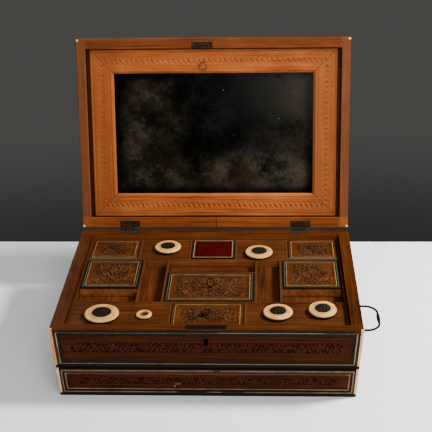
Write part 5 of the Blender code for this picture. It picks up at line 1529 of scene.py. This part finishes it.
# from the rosette's seat out over the beaded rim and down to the spigot
def capProfile(radius, grooves):
    top = capSizes["height"]
    seat, outer, grooveWidth = capRings(radius, grooves)
    lip = seat + 0.35 * mm
    sunk = top - capSizes["rosetteSunk"]
    points = [(0.0, sunk), (seat, sunk), (seat + 0.05 * mm, top - 0.2 * mm), (lip, top)]
    for index in range(1, capSizes["steps"] + 1):
        share = index / capSizes["steps"]
        at = lip + (outer - lip) * share
        groove = 0.34 * mm * grooveAt(at, seat, grooveWidth, grooves, 0.16)
        points.append((at, top * (1.0 - 0.14 * share ** 1.3) - groove))
    for angle in range(0, 181, 15):
        turn = math.radians(angle)
        swell = max(0.0, math.sin(turn)) ** 0.8 if angle not in (0, 180) else 0.0
        points.append((outer + (radius - outer) * swell, 0.60 * top + 0.26 * top * math.cos(turn)))
    kept = points[:1]
    for point in points[1:]:
        if math.dist(point, kept[-1]) >= 0.03 * mm:
            kept.append(point)
    foot = capSizes["foot"] * radius
    under = capSizes["underside"]
    spigot = capSizes["spigotRadius"]
    length = capSizes["spigotLength"]
    kept += [(foot + 0.8 * mm, 0.9 * mm), (foot, under)]
    return kept + [(spigot, under), (spigot, -length), (0.0, -length)]


# a cap's frame on the tray, lifted so that a tilted one still rests on its edge
def capFrame(spot, radius, tilt):
    lift = math.sin(math.radians(tilt)) * radius * capSizes["foot"]
    upright = Matrix.Translation((spot[0] * mm, spot[1] * mm, trayTop + lift))
    return upright @ Matrix.Rotation(math.radians(tilt), 4, "X")


def turnedCap(name, toWorld, radius, grooves):
    seat, _, grooveWidth = capRings(radius, grooves)

    # dirt and painted shade in the grooves and round the rosette's seat, and painted shade low on the cap
    # where it meets the tray
    def capDirtAndShade(at, height, angle):
        dirtAndShade = 0.90 * grooveAt(at, seat, grooveWidth, grooves, 0.15)
        if at < seat + 0.4 * mm:
            dirtAndShade = max(dirtAndShade, 0.8)
        return max(dirtAndShade, 0.45 * math.exp(-((height - capSizes["underside"]) / (0.6 * mm)) ** 2))

    turnedPiece("cap_" + name + "_turned", capProfile(radius, grooves), 96, toWorld, "ivory", "case",
                ("cap_" + name,), False, capDirtAndShade)


# a small carved disc: ten petals round five round a boss
def carvedRosette(name, toWorld, radius):
    sunk = Matrix.Translation((0.0, 0.0, capSizes["height"] - capSizes["rosetteSunk"]))
    edge = radius * capSizes["rosette"] - 0.05 * mm
    thickness = capSizes["rosetteThickness"]

    def carvedAt(at, angle, height):
        share = at / edge
        outerPetal = 0.5 + 0.5 * math.cos(10.0 * angle + 1.2 * share)
        innerPetal = 0.5 + 0.5 * math.cos(5.0 * angle + 0.6)
        if height < 0.4 * thickness:
            return 0.0
        if share > 0.93:
            return -0.10 * mm
        if share > 0.50:
            ring = math.sin(math.pi * (share - 0.50) / 0.43)
            return (0.35 * outerPetal * ring - 0.55 * (1.0 - outerPetal)) * mm * 0.9
        if share > 0.18:
            ring = math.sin(math.pi * (share - 0.18) / 0.32)
            return (0.25 * innerPetal * ring - 0.60 * (1.0 - innerPetal)) * mm * 0.9
        return 0.12 * mm

    # painted shade in the rosette's carved hollows
    def rosetteHollowShade(at, height, angle):
        return min(1.0, max(0.0, -carvedAt(at, angle, thickness) / (0.45 * mm)))

    profile = [(share * edge, thickness * (1.0 - 0.50 * share ** 1.8)) for share in np.arange(25) / 24]
    profile += [(edge, capSizes["underside"]), (0.0, capSizes["underside"])]
    turnedPiece("rosette_" + name + "_carved", profile, 80, toWorld @ sunk, "horn", "case",
                ("rosette_" + name,), False, rosetteHollowShade, carvedAt)


for name, (spot, radius, tilt, grooves) in turnedCaps.items():
    toWorld = capFrame(spot, radius * mm, tilt)
    turnedCap(name, toWorld, radius * mm, grooves)
    carvedRosette(name, toWorld, radius * mm)

thimbleRing = {"place": (-75.0 * mm, -84.0 * mm), "radius": 9.5 * mm, "hole": 5.0 * mm, "height": 3.2 * mm}


def ringProfile():
    hole = thimbleRing["hole"]
    outer = thimbleRing["radius"]
    height = thimbleRing["height"]
    under = capSizes["underside"]
    points = [(hole, under), (hole, 0.34 * height), (hole + 0.55 * mm, 0.70 * height),
              (hole + 1.0 * mm, 0.93 * height)]
    for index in range(9):
        share = index / 8
        bead = 0.12 * mm * math.sin(share * 3.0 * math.pi) ** 2
        at = hole + 1.15 * mm + (outer - hole - 1.75 * mm) * share
        points.append((at, height * (0.97 - 0.22 * share ** 2) - bead))
    side = outer - 0.15 * mm
    return points + [(side, 0.62 * height), (outer, 0.45 * height), (side, 0.15 * height + 0.2 * mm),
                     (outer - 0.5 * mm, under)]


# painted shade inside the ring's hole, and a little dirt elsewhere
def ringHoleShade(at, height, angle):
    return 0.7 if at < thimbleRing["hole"] + 0.2 * mm else 0.05


ringPlace = Matrix.Translation((*thimbleRing["place"], trayTop))
turnedPiece("thimble_ring_turned", ringProfile(), 72, ringPlace, "ivory", "case", ("thimble_ring",),
            True, ringHoleShade)
print("turned ivory made")

pincushion = {"crown": 2.1 * mm, "grid": 0.75 * mm, "dents": 14, "dentRadius": 1.6 * mm}


def makePincushion():
    low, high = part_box("pincushion_velvet")
    halfX = (high.x - low.x) / 2.0
    halfY = (high.y - low.y) / 2.0
    rng = np.random.default_rng(77)
    us = line(-halfX, halfX, pincushion["grid"])
    vs = line(-halfY, halfY, pincushion["grid"])
    dents = []
    for _ in range(pincushion["dents"]):
        spot = (rng.uniform(-0.7, 0.7) * halfX, rng.uniform(-0.7, 0.7) * halfY)
        dents.append((*spot, rng.uniform(0.1, 0.35) * mm))

    def carve(u, v):
        fall = (1.0 - np.abs(u / halfX) ** 3.2) * (1.0 - np.abs(v / halfY) ** 3.2)
        height = pincushion["crown"] * fall ** 0.8 - 0.5 * mm * (1.0 - fall) ** 8
        height += 0.10 * mm * np.sin(u / (1.1 * mm)) * np.exp(-((halfY - np.abs(v)) / (2.5 * mm)))
        height += 0.10 * mm * np.sin(v / (1.2 * mm)) * np.exp(-((halfX - np.abs(u)) / (2.5 * mm))) - 0.1 * mm
        for x, y, depth in dents:
            height -= depth * ridge(np.hypot(u - x, v - y), pincushion["dentRadius"])
        height = np.minimum(height, high.z - trayTop)
        return height, 0.0 * u, 0.0 * u, 0.0 * u

    depth = trayTop - low.z
    middle = (low + high) / 2.0
    toWorld = Matrix.Translation((middle.x, middle.y, trayTop))
    backs = ((-halfY, depth), (halfY, depth))
    cushion = carvedPlate("pincushion_velvet", us, vs, lambda v: halfX, backs, carve, toWorld, "velvet",
                          "case")


makePincushion()
print("pincushion made")


# side faces between two rings of corners
def ringFaces(first, second, steps):
    faces = []
    for index in range(steps):
        after = (index + 1) % steps
        faces.append((first + index, first + after, second + after, second + index))
    return faces


# faces that close the first and the last of a number of rings
def endFaces(rings, steps):
    return [tuple(range(steps)), tuple(range((rings - 1) * steps, rings * steps))]


# vertices and faces of a tube along points
def tube(points, radii, sides=12, closed=False):
    points = [Vector(point) for point in points]
    count = len(points)
    vertices = []
    faces = []
    reference = None
    for index, point in enumerate(points):
        before = points[index - 1] if index or closed else point
        after = points[(index + 1) % count] if index < count - 1 or closed else point
        direction = (after - before).normalized()
        if reference is None:
            reference = direction.orthogonal().normalized()
        reference = (reference - direction * reference.dot(direction)).normalized()
        other = direction.cross(reference)
        for side in range(sides):
            angle = 2.0 * math.pi * side / sides
            vertices.append(point + radii[index] * (reference * math.cos(angle) + other * math.sin(angle)))
    for index in range(count if closed else count - 1):
        faces += ringFaces(index * sides, ((index + 1) % count) * sides, sides)
    return vertices, faces if closed else faces + endFaces(count, sides)


# one list of vertices and faces from several
def merge(shapes):
    vertices = []
    faces = []
    for moreVertices, moreFaces in shapes:
        start = len(vertices)
        vertices += list(moreVertices)
        faces += [tuple(index + start for index in face) for face in moreFaces]
    return vertices, faces


pullSizes = {
    "ringRadius": 4.9 * mm, "wire": 0.8 * mm, "eyeHeight": 2.2 * mm, "ringSteps": 40, "collarSteps": 20,
    # radius and height of the collar and its eye, from the foot up
    "collar": ((0.02, 0.1), (1.65, 0.1), (1.65, 0.35), (1.1, 0.6), (0.7, 1.0), (0.75, 1.5), (1.3, 1.7),
               (1.35, 2.05), (0.02, 2.2)),
}
wireSharp = 45.0        # edges sharper than this stay sharp in wire pieces, in degrees


# a wire ring through a screw eye with a small collar
def makePull(name, toWorld, lean, body, metal="iron"):
    radius = pullSizes["ringRadius"]
    foot = pullSizes["eyeHeight"] - pullSizes["wire"]
    tilt = Matrix.Translation((0.0, 0.0, foot)) @ Matrix.Rotation(math.radians(lean), 4, "X")
    ring = []
    for index in range(pullSizes["ringSteps"]):
        angle = 2.0 * math.pi * index / pullSizes["ringSteps"]
        ring.append(tilt @ Vector((radius * math.sin(angle), radius * (1.0 - math.cos(angle)), 0.0)))
    steps = pullSizes["collarSteps"]
    collar = []
    faces = []
    for row, (across, height) in enumerate(pullSizes["collar"]):
        for index in range(steps):
            angle = 2.0 * math.pi * index / steps
            collar.append(Vector((across * mm * math.cos(angle), across * mm * math.sin(angle), height * mm)))
        if row:
            faces += ringFaces((row - 1) * steps, row * steps, steps)
    faces += endFaces(len(pullSizes["collar"]), steps)
    vertices, faces = merge((tube(ring, [pullSizes["wire"]] * len(ring), 10, True), (collar, faces)))
    world = [toWorld @ corner for corner in vertices]
    newPiece(name + "_wire", world, faces, metal, body, (name,), wireSharp)


pulls = {
    # place in mm, turn about an axis in degrees, lean of the ring, body, metal
    "pull_centre": ((1.0, -19.15, 84.95), (0.0, "Z"), 68.0, "case", "iron"),
    "pull_front": ((-5.0, -85.05, 84.95), (-48.0, "Z"), 12.0, "case", "iron"),
    "frame_pull": ((-13.0, -224.2, 2.15), (180.0, "Y"), 0.0, "lid", "ring"),
}
for name, (spot, (turn, axis), lean, body, metal) in pulls.items():
    toWorld = Matrix.Translation(Vector(spot) * mm) @ Matrix.Rotation(math.radians(turn), 4, axis)
    makePull(name, lidFrame @ toWorld if body == "lid" else toWorld, lean, body, metal)

handleSizes = {
    "span": 57.0 * mm, "reach": 27.0 * mm, "corner": 16.0 * mm, "wire": 1.4 * mm, "grip": 2.3 * mm,
    "gripLength": 22.0 * mm, "eyeWidth": 5.0 * mm, "eyeBend": 1.4 * mm, "sides": 14,
    "axisX": 181.33 * mm, "axisY": -20.5 * mm, "axisZ": 42.7 * mm,
}


# the wire handle, swelling at its grip
def makeBail(name, axisX, turn, body):
    end = handleSizes["span"] / 2.0
    reach = handleSizes["reach"]
    corner = handleSizes["corner"]
    bend = handleSizes["eyeBend"]
    shoulder = reach - corner
    route = [(0.0, handleSizes["eyeWidth"] - end), (0.0, 2.4 * mm - end)]
    for index in range(1, 5):
        angle = math.pi / 2.0 * index / 5
        route.append((bend * (1.0 - math.cos(angle)), bend * (1.0 - math.sin(angle)) - end))
    route += [(1.6 * mm, -end), (0.5 * shoulder, -end), (shoulder, -end)]
    for index in range(1, 13):
        angle = math.pi / 2.0 * index / 12
        route.append((shoulder + corner * math.sin(angle), corner * (1.0 - math.cos(angle)) - end))
    while route[-1][1] < -0.7 * mm:
        route.append((reach, min(-0.3 * mm, route[-1][1] + 1.0 * mm)))
    route += [(across, -along) for across, along in reversed(route)]
    radii = []
    for across, along in route:
        share = min(1.0, abs(along) / (handleSizes["gripLength"] / 2.0))
        swelling = math.cos(0.5 * math.pi * share) if across > 0.9 * reach else 0.0
        radii.append(handleSizes["wire"] + (handleSizes["grip"] - handleSizes["wire"]) * swelling)
    vertices, faces = tube([(across, along, 0.0) for across, along in route], radii, handleSizes["sides"])
    toWorld = Matrix.Translation((axisX, handleSizes["axisY"], handleSizes["axisZ"])) @ turn
    world = [toWorld @ corner for corner in vertices]
    newPiece(name + "_wire", world, faces, "iron", body, (name,), wireSharp)


hangingLeft = Matrix.Rotation(math.pi, 4, "Z") @ Matrix.Rotation(math.pi / 2.0, 4, "Y")
makeBail("handle_bail_right", handleSizes["axisX"], Matrix.Identity(4), "handle_right")
makeBail("handle_bail_left", -handleSizes["axisX"], hangingLeft, "handle_left")
print("iron rings and handles made")

lidPegs = {
    "radius": 1.6 * mm, "proud": 0.12 * mm, "sunk": 0.4 * mm, "steps": 32,
    "x": 178.2 * mm, "front": -254.2 * mm, "back": -4.2 * mm, "z": 0.25 * mm,
}


# low domed pegs at the four corners of the lid's rim
def makePegs():
    radius = lidPegs["radius"]
    height = lidPegs["proud"]
    profile = [(0.0, height), (0.45 * radius, 0.96 * height), (0.80 * radius, 0.75 * height),
               (0.97 * radius, 0.35 * height), (radius, -lidPegs["sunk"]), (0.0, -lidPegs["sunk"])]
    faceUp = Matrix.Rotation(math.pi, 4, "X")
    for side, word in ((-1.0, "left"), (1.0, "right")):
        for key in ("front", "back"):
            spot = Matrix.Translation((side * lidPegs["x"], lidPegs[key], lidPegs["z"]))
            turnedPiece("lid_peg_" + key + "_" + word, profile, lidPegs["steps"], lidFrame @ spot @ faceUp,
                        "cornerIvory", "lid", (), False, lambda at, top, angle: 0.1)


makePegs()
print("small fittings made")

stageSizes = {"halfWidth": 3.0, "front": -3.0, "back": 0.2676, "pale": 0.82, "dull": 0.78}


def makeFloor():
    mesh = bpy.data.meshes.new("floor")
    halfX, front, back = stageSizes["halfWidth"], stageSizes["front"], stageSizes["back"]
    corners = [(-halfX, front, 0.0), (halfX, front, 0.0), (halfX, back, 0.0), (-halfX, back, 0.0)]
    mesh.from_pydata(corners, [], [(0, 1, 2, 3)])
    floor = bpy.data.objects.new("floor", mesh)
    scene.collection.objects.link(floor)
    made, tree, shader = newMaterial("paleFloor")
    clouds = noise(tree, place(tree), 3.0, 2.0)
    tone = mix(tree, clouds, (stageSizes["dull"],) * 3, (stageSizes["pale"],) * 3)
    put(tree, tone, shader["Base Color"])
    shader["Roughness"].default_value = 0.75
    mesh.materials.append(made)


makeFloor()

lights = {
    # name: place, aim, size, power
    "key": ((1.00, 0.12, 1.04), (0.0, 0.0, 0.05), 0.22, 52.0),
    "overhead": ((0.1, -0.3, 1.9), (0.0, 0.0, 0.05), 1.4, 16.0),
    "front": ((0.5, -1.7, 1.0), (0.0, 0.0, 0.15), 1.2, 27.0),
    "back": ((-0.5, 1.8, 1.0), (0.0, 0.1, 0.15), 1.2, 5.0),
}
for label, (spot, aim, size, power) in lights.items():
    data = bpy.data.lights.new(label, "AREA")
    data.size = size
    data.energy = power
    lamp = bpy.data.objects.new(label, data)
    lamp.location = spot
    lamp.rotation_euler = (Vector(aim) - Vector(spot)).to_track_quat("-Z", "Y").to_euler()
    scene.collection.objects.link(lamp)

backdropTones = {
    # heights of the view where the dark foot of the backdrop fades, its two greys,
    # and what glossy and matt surfaces see of it
    "fade": (-0.455, -0.355), "foot": (0.030, 0.0290, 0.0270), "grey": (0.0680, 0.0660, 0.0625),
    "glossy": (0.030, 0.030, 0.030), "diffuse": (0.15, 0.15, 0.15),
}


def makeBackdrop():
    world = bpy.data.worlds.new("studio")
    world.use_nodes = True
    tree = world.node_tree
    seen = tree.nodes.new("ShaderNodeLightPath").outputs
    heading = tree.nodes.new("ShaderNodeTexCoord").outputs["Generated"]
    fade = ramp(tree, split(tree, heading)[2], *backdropTones["fade"])
    backdrop = mix(tree, fade, backdropTones["foot"], backdropTones["grey"])
    backdrop = mix(tree, seen["Is Glossy Ray"], backdrop, backdropTones["glossy"])
    shade = mix(tree, seen["Is Diffuse Ray"], backdrop, backdropTones["diffuse"])
    put(tree, shade, tree.nodes["Background"].inputs["Color"])
    scene.world = world


makeBackdrop()

cameraView = {
    "place": (0.0669, -1.1417, 0.7287), "pitch": 0.452, "yaw": 0.051, "roll": -0.023,
    "focalPixels": 1048.14, "imagePixels": 432.0, "sensor": 36.0,
}


def makeCamera():
    data = bpy.data.cameras.new("camera")
    data.sensor_width = cameraView["sensor"]
    data.sensor_fit = "HORIZONTAL"
    data.lens = cameraView["focalPixels"] / cameraView["imagePixels"] * cameraView["sensor"]
    data.clip_start = 0.01
    camera = bpy.data.objects.new("camera", data)
    heading = Matrix.Rotation(cameraView["yaw"], 3, "Z")
    forward = heading @ Vector((0.0, math.cos(cameraView["pitch"]), -math.sin(cameraView["pitch"])))
    right = heading @ Vector((1.0, 0.0, 0.0))
    up = right.cross(forward)
    cosine, sine = math.cos(cameraView["roll"]), math.sin(cameraView["roll"])
    right, up = cosine * right + sine * up, cosine * up - sine * right
    turn = Matrix((right, up, -forward)).transposed().to_4x4()
    camera.matrix_world = Matrix.Translation(cameraView["place"]) @ turn
    scene.collection.objects.link(camera)
    scene.camera = camera


makeCamera()
print("floor, light and camera set")
